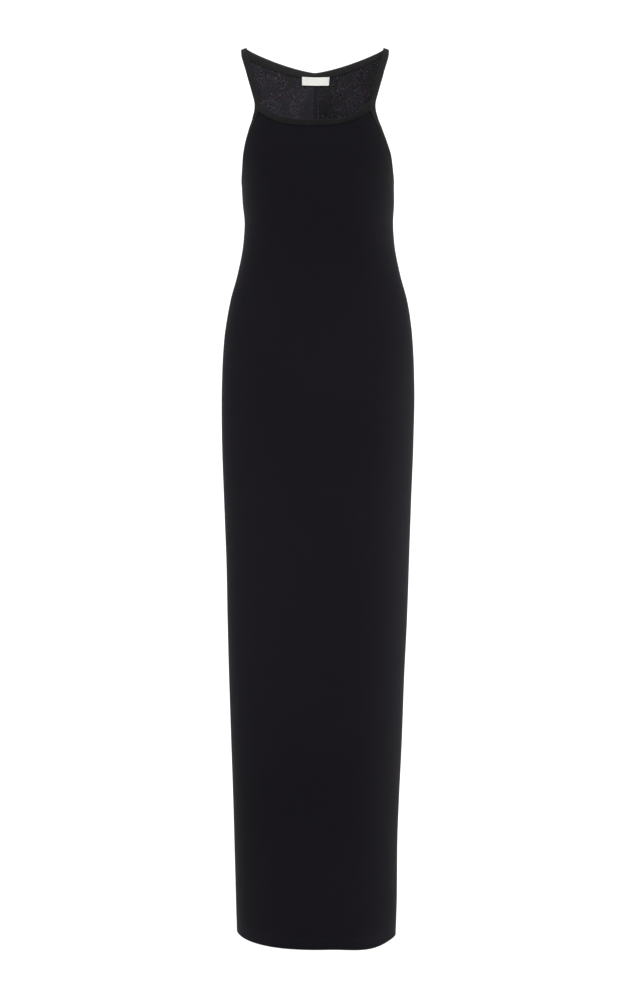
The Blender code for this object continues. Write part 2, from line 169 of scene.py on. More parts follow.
# Main creases, on the outside: where each starts and ends, as mm from the middle and drop, the
# panel, how wide it is and how far it stands out
Crease = namedtuple("Crease", "facing away drop to_away to_drop wide high")
CREASES = [Crease(*row) for row in (
    (-1, -92, 146, -62, 178, 6, 0.55),
    (-1, -96, 160, -74, 186, 5, -0.4),
    (-1, 94, 146, 66, 180, 6, 0.5),
    (-1, 99, 162, 78, 186, 5, -0.35),
    (-1, -104, 330, -58, 322, 7, 0.3),
    (-1, 112, 332, 66, 326, 7, 0.3),
    (-1, 10, 520, 14, 760, 26, 0.9),
    (-1, 8, 780, 2, 1080, 30, 0.8),
    (-1, -62, 1130, -74, 1440, 24, 0.8),
    (-1, 50, 1150, 62, 1440, 24, 0.8),
    (1, -66, 350, -20, 362, 8, 0.5),
    (1, 20, 366, 70, 352, 8, 0.5),
    (1, -36, 760, -44, 1300, 30, 0.9),
    (1, 42, 780, 50, 1340, 30, 0.9),
)]

# The skirt's drape: how high its waves are and how many go round, over how many mm of drop they
# turn by a radian, and where they start. They fade in down the skirt from this drop, in mm.
DRAPE = ((0.35, 5, 260, 0), (0.25, 8, -340, 1))
DRAPE_DROP = 700


def smooth_column(column, at):
    """A column of SECTIONS at drops in mm, through its rows with no overshoot."""
    xs, ys = SECTIONS[:, 0], SECTIONS[:, column]
    rise = np.diff(ys) / np.diff(xs)
    slope = np.zeros(len(xs))
    before, after = rise[:-1], rise[1:]
    same = before * after > 0
    slope[1:-1][same] = 2 * before[same] * after[same] / (before[same] + after[same])
    slope[-1] = rise[-1]
    at = np.clip(at, xs[0], xs[-1])
    i = np.clip(np.searchsorted(xs, at, side="right") - 1, 0, len(xs) - 2)
    h = xs[i + 1] - xs[i]
    t = (at - xs[i]) / h
    s = 3 * t**2 - 2 * t**3
    ends = (t**3 - 2 * t**2 + t) * slope[i] + (t**3 - t**2) * slope[i + 1]
    return (1 - s) * ys[i] + s * ys[i + 1] + ends * h


def section(drop):
    """Half breadth, front and back depth of the cloth's middle surface, its offset and squareness."""
    at = np.asarray(drop, float) / MM
    half, front, back = (smooth_column(k, at) * MM - SOLID_WALL / 2 for k in (1, 2, 3))
    return half, front, back, smooth_column(4, at) * MM, smooth_column(5, at)


def below_ridge(away, drop):
    """How far a point is below the sloping shoulder ridge."""
    return drop - (away - CREST_AWAY) * SHOULDER_SLOPE


def arch(away, drop):
    """How much of its full depth the cloth has there: 0 on the shoulder ridge, 1 below the arch."""
    g = np.clip(below_ridge(away, drop) / ARCH_HEIGHT, 0, 1)
    return (1 - (1 - g) ** ARCH_POWER) ** (1 / ARCH_POWER)


def cloth(angle, drop):
    """The cloth's middle surface: angle 0 is the front middle and pi/2 the wearer's left side."""
    angle, drop = np.broadcast_arrays(np.asarray(angle, float), np.asarray(drop, float))
    half, front, back, off, power = section(drop)
    s, c = np.sin(angle), np.cos(angle)
    away = half * np.abs(s) ** (2 / power)
    depth = np.where(c > 0, front, back) * np.abs(c) ** (2 / power)
    x = off + np.copysign(away, s)
    y = -np.copysign(depth, c) * arch(away, drop)
    return np.stack([x, y, -drop], -1)


def cloth_at(away, drop, facing):
    """The cloth's middle surface this far from the middle: facing is -1 in front, 1 behind."""
    away, drop = np.broadcast_arrays(np.asarray(away, float), np.asarray(drop, float))
    half, front, back, off, power = section(drop)
    t = np.minimum(np.abs(away) / half, 1.0)
    depth = (front if facing < 0 else back) * (1 - t**power) ** (1 / power)
    return np.stack([off + away, facing * depth * arch(np.abs(away), drop), -drop], -1)


def in_section(p):
    """How far points are aside from their sections' middles, the share of the half breadth that
    this is, how deep the sections are on the points' side, and how square."""
    half, front, back, off, power = section(-p[..., 2])
    away = p[..., 0] - off
    return away, np.abs(away) / half, np.where(p[..., 1] < 0, front, back), power


def outside(p):
    """Roughly how far points are outside the cloth's middle surface, in metres."""
    away, u, depth, power = in_section(p)
    g = below_ridge(np.abs(away), -p[..., 2]) / ARCH_HEIGHT
    v = np.abs(p[..., 1])
    full = depth * (1 - np.minimum(u, 0.96) ** power) ** (1 / power)
    high = np.maximum(1 - g, 0)
    arched = (((v / full) ** ARCH_POWER + high**ARCH_POWER) ** (1 / ARCH_POWER) - 1) * full
    plain = ((u**power + (v / depth) ** power) ** (1 / power) - 1) * depth
    return np.where((g < 1) & (u < 0.95), arched, plain)


def slope_of(p):
    """The gradient of outside(), which points outwards from the cloth."""
    step = 0.2 * MM
    moves = np.eye(3) * step
    return np.stack([(outside(p + m) - outside(p - m)) / (2 * step) for m in moves], -1)


def unit(v):
    return v / np.maximum(np.linalg.norm(v, axis=-1, keepdims=True), 1e-12)


def normals(p):
    return unit(slope_of(p))


def bell(off, reach):
    """1 where off is nothing, and almost 0 from twice reach away."""
    return np.exp(-((off / reach) ** 2))


def swell(off, reach):
    """1 where off is nothing, falling smoothly to 0 at reach."""
    return np.cos(np.minimum(np.abs(off) / reach, 1) * math.pi / 2) ** 2


def settle(p):
    """The points of the cloth's middle surface nearest to points that are close to it."""
    for _ in range(5):
        g = slope_of(p)
        p = p - g * (outside(p) / np.maximum((g * g).sum(-1), 1e-9))[..., None]
    return p


def angle_of(p):
    """The angle of points of the cloth, as cloth() takes it."""
    away, u, depth, power = in_section(p)
    depth = depth * np.maximum(arch(np.abs(away), -p[..., 2]), 1e-6)
    u, v = (np.minimum(share, 1.0) ** (power / 2) for share in (u, np.abs(p[..., 1]) / depth))
    return np.arctan2(np.copysign(u, away), -np.copysign(v, p[..., 1]))


# ---- lines on the cloth


def lengths(points):
    """The distance along each line of points to each of its points."""
    steps = np.linalg.norm(np.diff(points, axis=-2), axis=-1)
    return np.concatenate([np.zeros_like(steps[..., :1]), np.cumsum(steps, -1)], -1)


def at_lengths(points, where):
    """The points this far along a line of points."""
    run = lengths(points)
    return np.stack([np.interp(where, run, points[:, k]) for k in range(3)], -1)


def evenly(points, count):
    """This many points along a line of points, evenly apart."""
    return at_lengths(points, np.linspace(0, lengths(points)[-1], count))


def both_sides(halves):
    """Lines or grids of the wearer's right and left half as one, from right to left."""
    return np.concatenate([halves[0][..., ::-1, :], halves[1][..., 1:, :]], -2)


def extended(row, by):
    """A row that goes on over the cloth past its end."""
    on = unit(row[-1] - row[-4])
    return np.concatenate([row, settle(row[-1] + on * np.linspace(0.25, 1, 4)[:, None] * by)])


def blend(a, b, t, start, end):
    """From a to b as t goes from start to end."""
    return a * ((end - t) / (end - start)) + b * ((t - start) / (end - start))


def rounded_loop(knots, steps):
    """A closed smooth curve through knots, with this many points between two knots."""
    out = []
    n = len(knots)
    for i in range(n):
        p0, p1, p2, p3 = (knots[(i + k) % n] for k in (-1, 0, 1, 2))
        t1 = np.linalg.norm(p1 - p0) ** 0.5
        t2 = t1 + np.linalg.norm(p2 - p1) ** 0.5
        t3 = t2 + np.linalg.norm(p3 - p2) ** 0.5
        t = (t1 + (t2 - t1) * np.arange(steps) / steps)[:, None]
        before = blend(blend(p0, p1, t, 0, t1), blend(p1, p2, t, t1, t2), t, 0, t2)
        after = blend(blend(p1, p2, t, t1, t2), blend(p2, p3, t, t2, t3), t, t1, t3)
        out.append(blend(before, after, t, t1, t2))
    return np.concatenate(out)


def armhole_edge(side):
    """The free edge of an armhole binding, from the underarm up the front and down the back."""
    knots = [cloth(side * math.pi / 2, UNDERARM_DROP)]
    knots += [cloth_at(side * away * MM, drop * MM, -1) for drop, away in FRONT_ARMHOLE]
    crest = (CREST_EDGE_AWAY - CREST_AWAY) * SHOULDER_SLOPE
    knots.append(np.array([side * CREST_EDGE_AWAY, 0, -crest]))
    knots += [cloth_at(side * away * MM, drop * MM, 1) for drop, away in BACK_ARMHOLE]
    return rounded_loop(knots, 24)


def beside(edge, side, width):
    """A closed line on the cloth, width inward from an armhole's edge."""
    along = unit(np.roll(edge, -2, 0) - np.roll(edge, 2, 0))
    inward = unit(np.cross(normals(edge), along)) * side
    spread = BINDING_SPREAD[side > 0] * swell(edge[:, 2] + SPREAD_DROP, SPREAD_REACH) * (edge[:, 1] < 0)
    return settle(edge + inward * (width + spread)[:, None])


def falling(loop, facing):
    """The front or back of a closed armhole line, from the crest down to the underarm."""
    top = int(loop[:, 2].argmax())
    return loop[: top + 1][::-1] if facing < 0 else np.concatenate([loop[top:], loop[:1]])


def from_drop(line, drop):
    """A falling line from its point nearest to a drop."""
    fall = np.abs(line[:, 2] + drop)
    fall[len(line) // 2 :] = 1
    return line[int(fall.argmin()) :]


def curved_row(side_point, middle_drop, curve, facing):
    """A row of a panel from its middle to side_point: level in the middle, curving up to it."""
    side_drop, end = -side_point[2], float(angle_of(side_point))
    start = 0.0 if facing < 0 else math.copysign(math.pi, end)
    square = float(section(side_drop)[4])
    angle = start + (end - start) * np.linspace(0, 1, 161)
    away = np.abs(np.sin(angle) / math.sin(end)) ** (2 / square)
    points = cloth(angle, middle_drop + (side_drop - middle_drop) * away**curve)
    points[-1] = side_point
    return points


def hung(row):
    """A row of the skirt, each point as much lower or higher as the hem is below it."""
    angle, drop = angle_of(row), -row[:, 2]
    down = np.clip((drop / LENGTH - 0.8) / 0.2, 0, 1)
    dip = HEM_DIP * swell(angle - HEM_DIP_ANGLE, HEM_DIP_REACH)
    rise = HEM_RISE * swell(angle + math.pi / 2, HEM_RISE_REACH)
    shift = (dip - rise) * down**2
    return row + cloth(angle, drop + shift) - cloth(angle, drop)


# ---- meshes

# The stitches' lines, as (points, the way up off the cloth, closed), by what they are sewn on
LINES = {key: [] for key in ("bindings", "hem", "hem inside", "overlock", "free edge", "label")}


def new_mesh(name, points, faces):
    mesh = bpy.data.meshes.new(name)
    mesh.from_pydata(points, [], faces)
    mesh.shade_smooth()
    mesh.update()
    return mesh


def add_object(name, mesh):
    thing = bpy.data.objects.new(name, mesh)
    bpy.context.scene.collection.objects.link(thing)
    return thing


def tie(thing, node=None):
    """Tie a piece to the dress, and hide the solid that it stands for."""
    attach(thing, "root")
    if node:
        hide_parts(node)


def add_cloth(name, points, faces, uv, materials, inner):
    """A closed piece of cloth, its faces turned outwards: uv is in metres of cloth, and inner
    says which of its first faces have the second material."""
    mesh = new_mesh(name, points, faces)
    index = np.zeros(len(mesh.loops), int)
    mesh.loops.foreach_get("vertex_index", index)
    mesh.uv_layers.new(name="cloth").data.foreach_set("uv", uv[index].ravel())
    for one in materials:
        mesh.materials.append(one)
    slots = np.zeros(len(faces), int)
    slots[: len(inner)] = inner
    mesh.polygons.foreach_set("material_index", slots)
    rough = bmesh.new()
    rough.from_mesh(mesh)
    if rough.calc_volume(signed=True) < 0:
        bmesh.ops.reverse_faces(rough, faces=rough.faces)
    rough.to_mesh(mesh)
    rough.free()
    return add_object(name, mesh)


def shell(name, rows, over, under, uv, materials, rolled_hem=0.0):
    """A closed shell of cloth: over and under are how far its two faces are off the points of
    rows. Its outside has the first material and its inside the second."""
    n = normals(rows)
    top, low = (rows + n * np.broadcast_to(off, n.shape[:2])[..., None] for off in (over, -under))
    count, wide = top.size // 3, top.shape[1]
    grid = np.arange(count).reshape(-1, wide)
    quads = np.stack([grid[:-1, :-1], grid[1:, :-1], grid[1:, 1:], grid[:-1, 1:]], -1).reshape(-1, 4)
    faces = quads.tolist() + (quads[:, ::-1] + count).tolist()
    points = [top.reshape(-1, 3), low.reshape(-1, 3)]
    places = [uv.reshape(-1, 2)] * 2
    rims = [[grid[0]], [grid[:, -1]], [grid[-1, ::-1]], [grid[::-1, 0]]]
    if rolled_hem:
        down = unit(rows[-1] - rows[-2])[::-1]
        first, last = top[-1, ::-1], low[-1, ::-1]
        for k, share in enumerate((0.15, 0.5, 0.85)):
            points.append(first + (last - first) * share + down * math.sin(share * math.pi) * rolled_hem)
            places.append(uv[-1, ::-1])
            rims[2].append(np.arange(wide) + 2 * count + k * wide)
    for rim in rims:
        rim.append(rim[0] + count)
        for near, far in zip(rim, rim[1:]):
            faces += np.stack([near[:-1], near[1:], far[1:], far[:-1]], -1).tolist()
    inner = np.repeat([0, 1], len(quads))
    return add_cloth(name, np.concatenate(points), faces, np.concatenate(places), materials, inner)


def band(name, near, far, closed, materials, fade=0):
    """A folded binding between its free edge, near, and its sewn edge, far, with a material for
    its outside and one for its inside. Where fade is not 0, that many stations at each end grow
    thinner, to go into the binding that covers them. Its stitches' lines go to LINES."""
    sewing = settings().sewing
    share, height = np.array(BINDING_FOLD + [(s, -h) for s, h in BINDING_FOLD[:0:-1]]).T
    height = height * MM
    count, wide = len(near), len(share)
    base = settle(near[:, None] + (far - near)[:, None] * share[:, None])
    n = normals(base)
    run = lengths(near)[:, None]
    beat = np.sin(run * 2 * math.pi / sewing.stitch_spacing)
    slow = np.sin(run * 41) * 0.5 + np.sin(run * 97 + 1.3) * 0.5
    pucker = np.sign(height) * sewing.pucker * beat * bell(share - STITCH_SHARE, 0.12)
    lift = height * (1 + 0.05 * slow) + pucker
    if fade:
        from_end = np.minimum(np.arange(count), np.arange(count)[::-1])
        lift = lift * np.clip(from_end / fade, 0.3, 1)[:, None]
    points = base + n * lift[..., None]
    inner = np.arange(wide) >= len(BINDING_FOLD)
    v = np.where(inner, -share, share) * ARMHOLE_BINDING
    uv = np.stack(np.broadcast_arrays(run, v), -1)
    grid = np.arange(count * wide).reshape(count, wide)
    turns = (grid, np.roll(grid, -1, 1), np.roll(grid, (-1, -1), (0, 1)), np.roll(grid, -1, 0))
    quads = np.stack(turns, -1)[: count if closed else -1]
    faces = quads.reshape(-1, 4).tolist()
    if not closed:
        faces += [grid[0, ::-1].tolist(), grid[-1].tolist()]
    inner = np.tile(inner, len(quads))
    keep = slice(fade, count - fade)
    for column in (STITCH_ROW, wide - STITCH_ROW):
        up = n[keep, column] * np.sign(height[column])
        LINES["bindings"].append((points[keep, column], up, closed))
    return add_cloth(name, points.reshape(-1, 3), faces, uv.reshape(-1, 2), materials, inner)


# ---- nodes


def fill(tree, node, inputs):
    """Link or set a node's inputs, given by name or number. Colours are made opaque."""
    for key, value in inputs.items():
        if isinstance(value, bpy.types.NodeSocket):
            tree.links.new(value, node.inputs[key])
        else:
            node.inputs[key].default_value = (*value, 1) if isinstance(value, Color) else value


def add_node(tree, kind, inputs, **values):
    """A new node, with its own values set and its inputs linked or set."""
    node = tree.nodes.new(kind)
    for key, value in values.items():
        setattr(node, key, value)
    fill(tree, node, inputs)
    return node


SURFACE = ("Roughness", "Specular IOR Level", "Sheen Weight", "Sheen Roughness", "Sheen Tint")


class Nodes:
    """A material's node tree, built node by node. It starts with the first values of SURFACE."""

    def __init__(self, name, *surface):
        self.material = bpy.data.materials.new(name)
        self.material.use_nodes = True
        self.tree = self.material.node_tree
        self.shader = self.tree.nodes["Principled BSDF"]
        fill(self.tree, self.shader, dict(zip(SURFACE, surface)))

    def add(self, kind, inputs, **values):
        return add_node(self.tree, kind, inputs, **values)

    def uv(self):
        """Places on the cloth in metres, and their two parts: across the cloth and up it."""
        place = self.add("ShaderNodeUVMap", {}, uv_map="cloth").outputs[0]
        return (place, *self.split(place)[:2])

    def objects(self):
        return self.add("ShaderNodeTexCoord", {}).outputs["Object"]

    def split(self, place):
        return self.add("ShaderNodeSeparateXYZ", {0: place}).outputs

    def math(self, operation, *values):
        return self.add("ShaderNodeMath", dict(enumerate(values)), operation=operation).outputs[0]

    def times(self, *values):
        """The product of some values."""
        product = values[0]
        for value in values[1:]:
            product = self.math("MULTIPLY", product, value)
        return product

    def off(self, value, middle):
        """How far a value is from a middle one, either way."""
        return self.math("ABSOLUTE", self.math("SUBTRACT", value, middle))

    def wave(self, value, period):
        return self.math("SINE", self.math("MULTIPLY", value, 2 * math.pi / period))

    def noise(self, place, scale, detail=2.0, roughness=0.5):
        values = {"Vector": place, "Scale": scale, "Detail": detail, "Roughness": roughness}
        return self.add("ShaderNodeTexNoise", values).outputs["Fac"]

    def ranged(self, value, low, high, to_low, to_high):
        """A value carried from one range to another, and held inside it."""
        values = dict(enumerate((value, low, high, to_low, to_high)))
        return self.add("ShaderNodeMapRange", values).outputs[0]

    def mottle(self, place, scale, detail, low, high):
        """Noise that stays between two values."""
        return self.ranged(self.noise(place, scale, detail), 0.3, 0.7, low, high)

    def mix(self, share, a, b):
        """Two colours mixed: the node has them at its inputs 6 and 7 and its output 2."""
        return self.add("ShaderNodeMix", {0: share, 6: a, 7: b}, data_type="RGBA").outputs[2]

    def tone(self, colour, *values):
        """A colour made lighter or darker by the product of some values."""
        inputs = {"Color": colour, "Value": self.times(*values)}
        return self.add("ShaderNodeHueSaturation", inputs).outputs[0]

    def finish(self, colour, *bumps):
        """The material in a colour, with bumps over each other: height, distance in mm, strength."""
        surface = {}
        for height, distance, strength in bumps:
            bump = {"Height": height, "Distance": distance * MM, "Strength": strength, **surface}
            surface = {"Normal": self.add("ShaderNodeBump", bump).outputs[0]}
        fill(self.tree, self.shader, {"Base Color": colour, **surface})
        return self.material


# ---- materials, each named as its maker

# One row of the knit is this share of a rib's width
COURSE = 0.8

# The outside's painted light and shade, by height: darker above the hips, lighter over them, darker down
# the skirt, and a painted highlight at the two lower corners of the hem
CHEST_TO_HIP_Z = (-460 * MM, -200 * MM)
HIP_LIGHT = 1.06
SKIRT_Z = (-1250 * MM, -950 * MM)
SKIRT_SHADE = 0.82
HEM_HIGHLIGHT_Z = (-1450 * MM, -1425 * MM)
HEM_HIGHLIGHT_X = (45 * MM, 95 * MM)

# Near the wearer's right armhole: where painted shade darkens the inside, and where the neck bindings grow
# lighter
INSIDE_SHADE_X = (-95 * MM, -72 * MM)
STRAP_X = (-85 * MM, -45 * MM)


def knit_height(m, u, v, wale):
    """The V-shaped loops of a plain knit: ribs down the cloth, and rows that slant across them."""
    across = m.math("DIVIDE", u, wale)
    rib = m.math("ABSOLUTE", m.wave(across, 2))
    slant = m.math("PINGPONG", across, 0.5)
    up = m.math("ADD", m.math("DIVIDE", v, wale * COURSE), m.times(slant, 1.1))
    return m.math("ADD", m.times(rib, 0.7), m.times(m.wave(up, 1), 0.3))


def lint(m, place, colour, lint_colour, spacing, size, share):
    """Sparse specks of lint on a colour."""
    cell = m.add("ShaderNodeTexVoronoi", {"Vector": place, "Scale": 1 / spacing}).outputs
    speck = m.math("LESS_THAN", cell["Distance"], size / spacing)
    chance = m.add("ShaderNodeSeparateColor", {0: cell["Color"]}).outputs[0]
    return m.mix(m.times(speck, m.math("GREATER_THAN", chance, 1 - share)), colour, lint_colour)


def seam_shadow(m, look):
    """1 on open cloth, and darker where the attribute ditch says that it goes into a seam."""
    ditch = m.add("ShaderNodeAttribute", {}, attribute_name="ditch").outputs["Fac"]
    return m.ranged(ditch, 0.0, 1.0, 1.0, look.seam_shade)


def black_jersey_outside(name, look):
    """The knit's smooth outside, in black, with painted light and shade by height and a painted highlight
    at the hem's lower corners.
    """
    m = Nodes(name, 0.66, 0.03, look.sheen, 0.38, (0.96, 0.93, 1.0, 1.0))
    place, u, v = m.uv()
    space = m.objects()
    x, _, z = m.split(space)
    # Painted light and shade: darker above the hips, lighter over them, darker down the skirt
    relaxed = m.ranged(z, *CHEST_TO_HIP_Z, HIP_LIGHT, look.relaxed)
    skirt = m.ranged(z, *SKIRT_Z, SKIRT_SHADE, 1.0)
    # Painted highlight at the two lower corners of the hem
    corner = m.times(m.ranged(z, *HEM_HIGHLIGHT_Z, 1.0, 0.0), m.ranged(m.math("ABSOLUTE", x), *HEM_HIGHLIGHT_X, 0.0, 1.0))
    corner_highlight = m.ranged(corner, 0.0, 1.0, 1.0, look.rubbed_hem)
    slow = m.mottle(space, 4, 3, 0.93, 1.07)
    fine = m.mottle(place, 900, 2, 0.86, 1.14)
    colour = m.tone(look.jersey, relaxed, skirt, corner_highlight, slow, fine)
    colour = lint(m, space, colour, look.lint, 40 * MM, 0.5 * MM, 0.3)
    colour = m.tone(colour, seam_shadow(m, look))
    knit = knit_height(m, u, v, look.wale)
    return m.finish(colour, (knit, 0.1, 0.5), (m.noise(space, 1400), 0.12, 0.35))


def jersey_inside(name, look, inside_shade):
    """The knit's inside: its floating yarns catch more light, in flecks."""
    m = Nodes(name, 0.8, 0.05, look.sheen, 0.5, (0.95, 0.93, 1.0, 1.0))
    place, _, v = m.uv()
    space = m.objects()
    napped = m.ranged(m.noise(place, 34, 2, 0.6), 0.41, 0.56, 0.2, 1.0)
    fleck = m.math("SUBTRACT", m.noise(place, 280, 3, 0.65), 0.5)
    grain = m.math("SUBTRACT", m.noise(place, 750, 1), 0.5)
    rough = m.math("ADD", m.times(fleck, 4.0), m.times(grain, 1.4))
    speckle = m.math("ADD", m.times(rough, napped), 1.0)
    cloud = m.ranged(m.noise(place, 22), 0.38, 0.62, 0.86, 1.12)
    warm = m.ranged(m.noise(place, 60), 0.46, 0.54, 0.0, 1.0)
    grey = m.ranged(m.noise(space, 38), 0.56, 0.62, 0.0, 1.0)
    yarn = m.mix(grey, m.mix(warm, look.inside, look.inside_warm), look.inside_grey)
    # Painted shade: the whole inside darker by inside_shade, and darker still near the wearer's right
    # armhole
    inside_shade = m.ranged(m.split(space)[0], *INSIDE_SHADE_X, 0.85 * inside_shade, inside_shade)
    colour = m.tone(yarn, speckle, cloud, inside_shade)
    loops = m.ranged(m.off(m.noise(place, 260, 1), 0.5), 0.0, 0.06, 1.0, 0.0)
    broken = m.ranged(m.noise(place, 500, 1), 0.5, 0.64, 0.0, inside_shade)
    colour = m.mix(m.times(loops, broken, napped), colour, look.fleck)
    colour = m.tone(colour, seam_shadow(m, look))
    rows = m.wave(v, look.wale * COURSE)
    return m.finish(colour, (rows, 0.12, 0.5), (m.noise(place, 600, 4, 0.7), 0.3, 0.6))


def black_jersey_inside(name, look):
    return jersey_inside(name, look, 1.0)


def black_jersey_inside_against(name, look):
    """The same with painted shade, darker, for the inside of the wearer's left back."""
    return jersey_inside(name, look, look.against_nap)


def folded_jersey(name, look, colour, fold, ditch, on_right=1.0):
    """Jersey cut as a strip and folded, with a painted highlight along its fold and painted shade in the
    groove of its stitches and at its sewn edge. It is lighter or darker by on_right near the wearer's right
    strap."""
    m = Nodes(name, 0.7, 0.05, look.sheen, 0.42, (0.97, 0.96, 1.0, 1.0))
    place, u, v = m.uv()
    space = m.objects()
    colour = m.tone(colour, m.mottle(space, 60, 3, 0.88, 1.12), m.mottle(place, 800, 2, 0.84, 1.16))
    from_fold = m.math("ABSOLUTE", v)
    # Painted highlight along the fold
    colour = m.mix(m.ranged(from_fold, 0.5 * MM, 2.0 * MM, 1.0, 0.0), colour, fold)
    # Painted shade in the groove of the stitches and at the sewn edge
    off_stitches = m.off(from_fold, STITCH_SHARE * ARMHOLE_BINDING)
    stitch_shading = m.ranged(off_stitches, 0.2 * MM, 0.9 * MM, 0.82, 1.0)
    seam = m.ranged(from_fold, ARMHOLE_BINDING - 0.9 * MM, ARMHOLE_BINDING - 0.1 * MM, 1.0, ditch)
    strap = m.ranged(m.split(space)[0], *STRAP_X, on_right, 1.0)
    colour = m.tone(colour, stitch_shading, seam, strap)
    knit = knit_height(m, v, u, look.wale)
    return m.finish(colour, (knit, 0.1, 0.5), (m.noise(space, 1500), 0.12, 0.4))


def jersey_binding(name, look):
    return folded_jersey(name, look, look.binding, look.worn_edge, look.seam_shade, 1.5)


# The armhole bindings: the neck bindings' jersey, painted lighter for how the light falls on them
def jersey_strap(name, look):
    return folded_jersey(name, look, look.strap, look.worn_strap, look.seam_shade)


def jersey_binding_inside(name, look):
    return folded_jersey(name, look, look.binding_inside, look.worn_edge_inside, 0.75)


def jersey_allowance(name, look):
    """Jersey pressed and overlocked at a seam, in a darker colour."""
    m = Nodes(name, 0.75, 0.04, look.sheen, 0.4)
    place, u, v = m.uv()
    colour = m.tone(look.allowance, m.mottle(place, 700, 3, 0.75, 1.25))
    return m.finish(colour, (knit_height(m, u, v, look.wale), 0.12, 0.5))


def twisted(name, colour):
    """Polyester thread, two plies twisted."""
    m = Nodes(name, 0.5, 0.15, 0.05, 0.3)
    inputs = {"Vector": m.objects(), "Scale": 900}
    twist = m.add("ShaderNodeTexWave", inputs, bands_direction="DIAGONAL").outputs["Fac"]
    return m.finish(m.tone(colour, m.ranged(twist, 0, 1, 0.7, 1.3)), (twist, 0.05, 0.5))


def black_thread(name, look):
    return twisted(name, look.thread)


def looper_thread(name, look):
    """The overlock's crimped yarn, paler than the black thread: partly the yarn's own look, partly a
    painted highlight along the overlocked edge.
    """
    return twisted(name, look.looper_thread)


def woven_label(name, look):
    """Off-white satin: fine warp and weft, with no words. It glows a little: painted light that makes it
    brighter.
    """
    m = Nodes(name, 0.45, 0.6, 0.5, 0.5)
    # Painted light: the label glows a little, though it is no lamp
    fill(m.tree, m.shader, {"Emission Color": look.label, "Emission Strength": look.brightener})
    place, u, v = m.uv()
    weave = m.times(m.wave(u, 0.28 * MM), m.wave(v, 0.36 * MM))
    shade = m.ranged(weave, -1, 1, 0.93, 1.04)
    colour = m.tone(look.label, shade, m.mottle(place, 300, 3, 0.95, 1.03))
    return m.finish(colour, (weave, 0.08, 0.5))


def pale_sweep(name, _):
    m = Nodes(name, 0.9, 0.1)
    return m.finish(m.tone(Color((0.99, 0.99, 0.99)), m.mottle(m.objects(), 3, 3, 0.99, 1.0)))


def material(maker):
    """The one material that a maker gives, made under its name when it is first asked for."""
    name = maker.__name__
    return bpy.data.materials.get(name) or maker(name, settings().look)


# ---- what a user would change


def length(name, about, default, low=-10000, high=10000):
    """A length, given in mm."""
    limits = {"default": default * MM, "min": low * MM, "max": high * MM}
    return FloatProperty(name=name, description=about, unit="LENGTH", **limits)


def amount(name, about, default, low=0, high=1):
    """A plain number, which is a share where it goes from 0 to 1."""
    kind = "FACTOR" if (low, high) == (0, 1) else "NONE"
    return FloatProperty(name=name, description=about, default=default, min=low, max=high, subtype=kind)


def tint(name, about, *rgb):
    limits = {"default": rgb, "size": 3, "min": 0, "max": 1}
    return FloatVectorProperty(name=name, description=about, subtype="COLOR", **limits)


def pointer(group, name):
    return PointerProperty(type=group, name=name, description=group.__doc__)


class SewingSettings(PropertyGroup):
    """Sizes of the cloth and of what is sewn on it."""

    wall: length("Cloth", "Thickness of the jersey", 1.0, 0.4, 2)
    ease: length("Ease", "How far open cloth stands out from the worn form", 0.45, 0, 2)
    seam_valley: length("Seam valley", "How deep a seam pulls the cloth in", 0.7, 0, 2)
    tuck: length("Tuck", "How far the cloth goes into a binding", 4, 1, 8)
    hem_turn: length("Hem", "Height of the turned-up hem", 20, 8, 40)
    stitch_spacing: length("Stitch spacing", "From one stitch to the next", 2.9, 1, 6)
    stitch_length: length("Stitch length", "Length of one stitch", 2.3, 0.5, 5)
    thread: length("Thread", "Thickness of the thread", 0.38, 0.1, 1)
    pucker: length("Pucker", "How far the cloth swells between stitches", 0.07, 0, 0.5)
    allowance: length("Allowance", "Width of a pressed seam allowance", 7, 4, 15)
    overlock: length("Overlock", "Spacing of the overlock threads", 1.7, 0.8, 4)


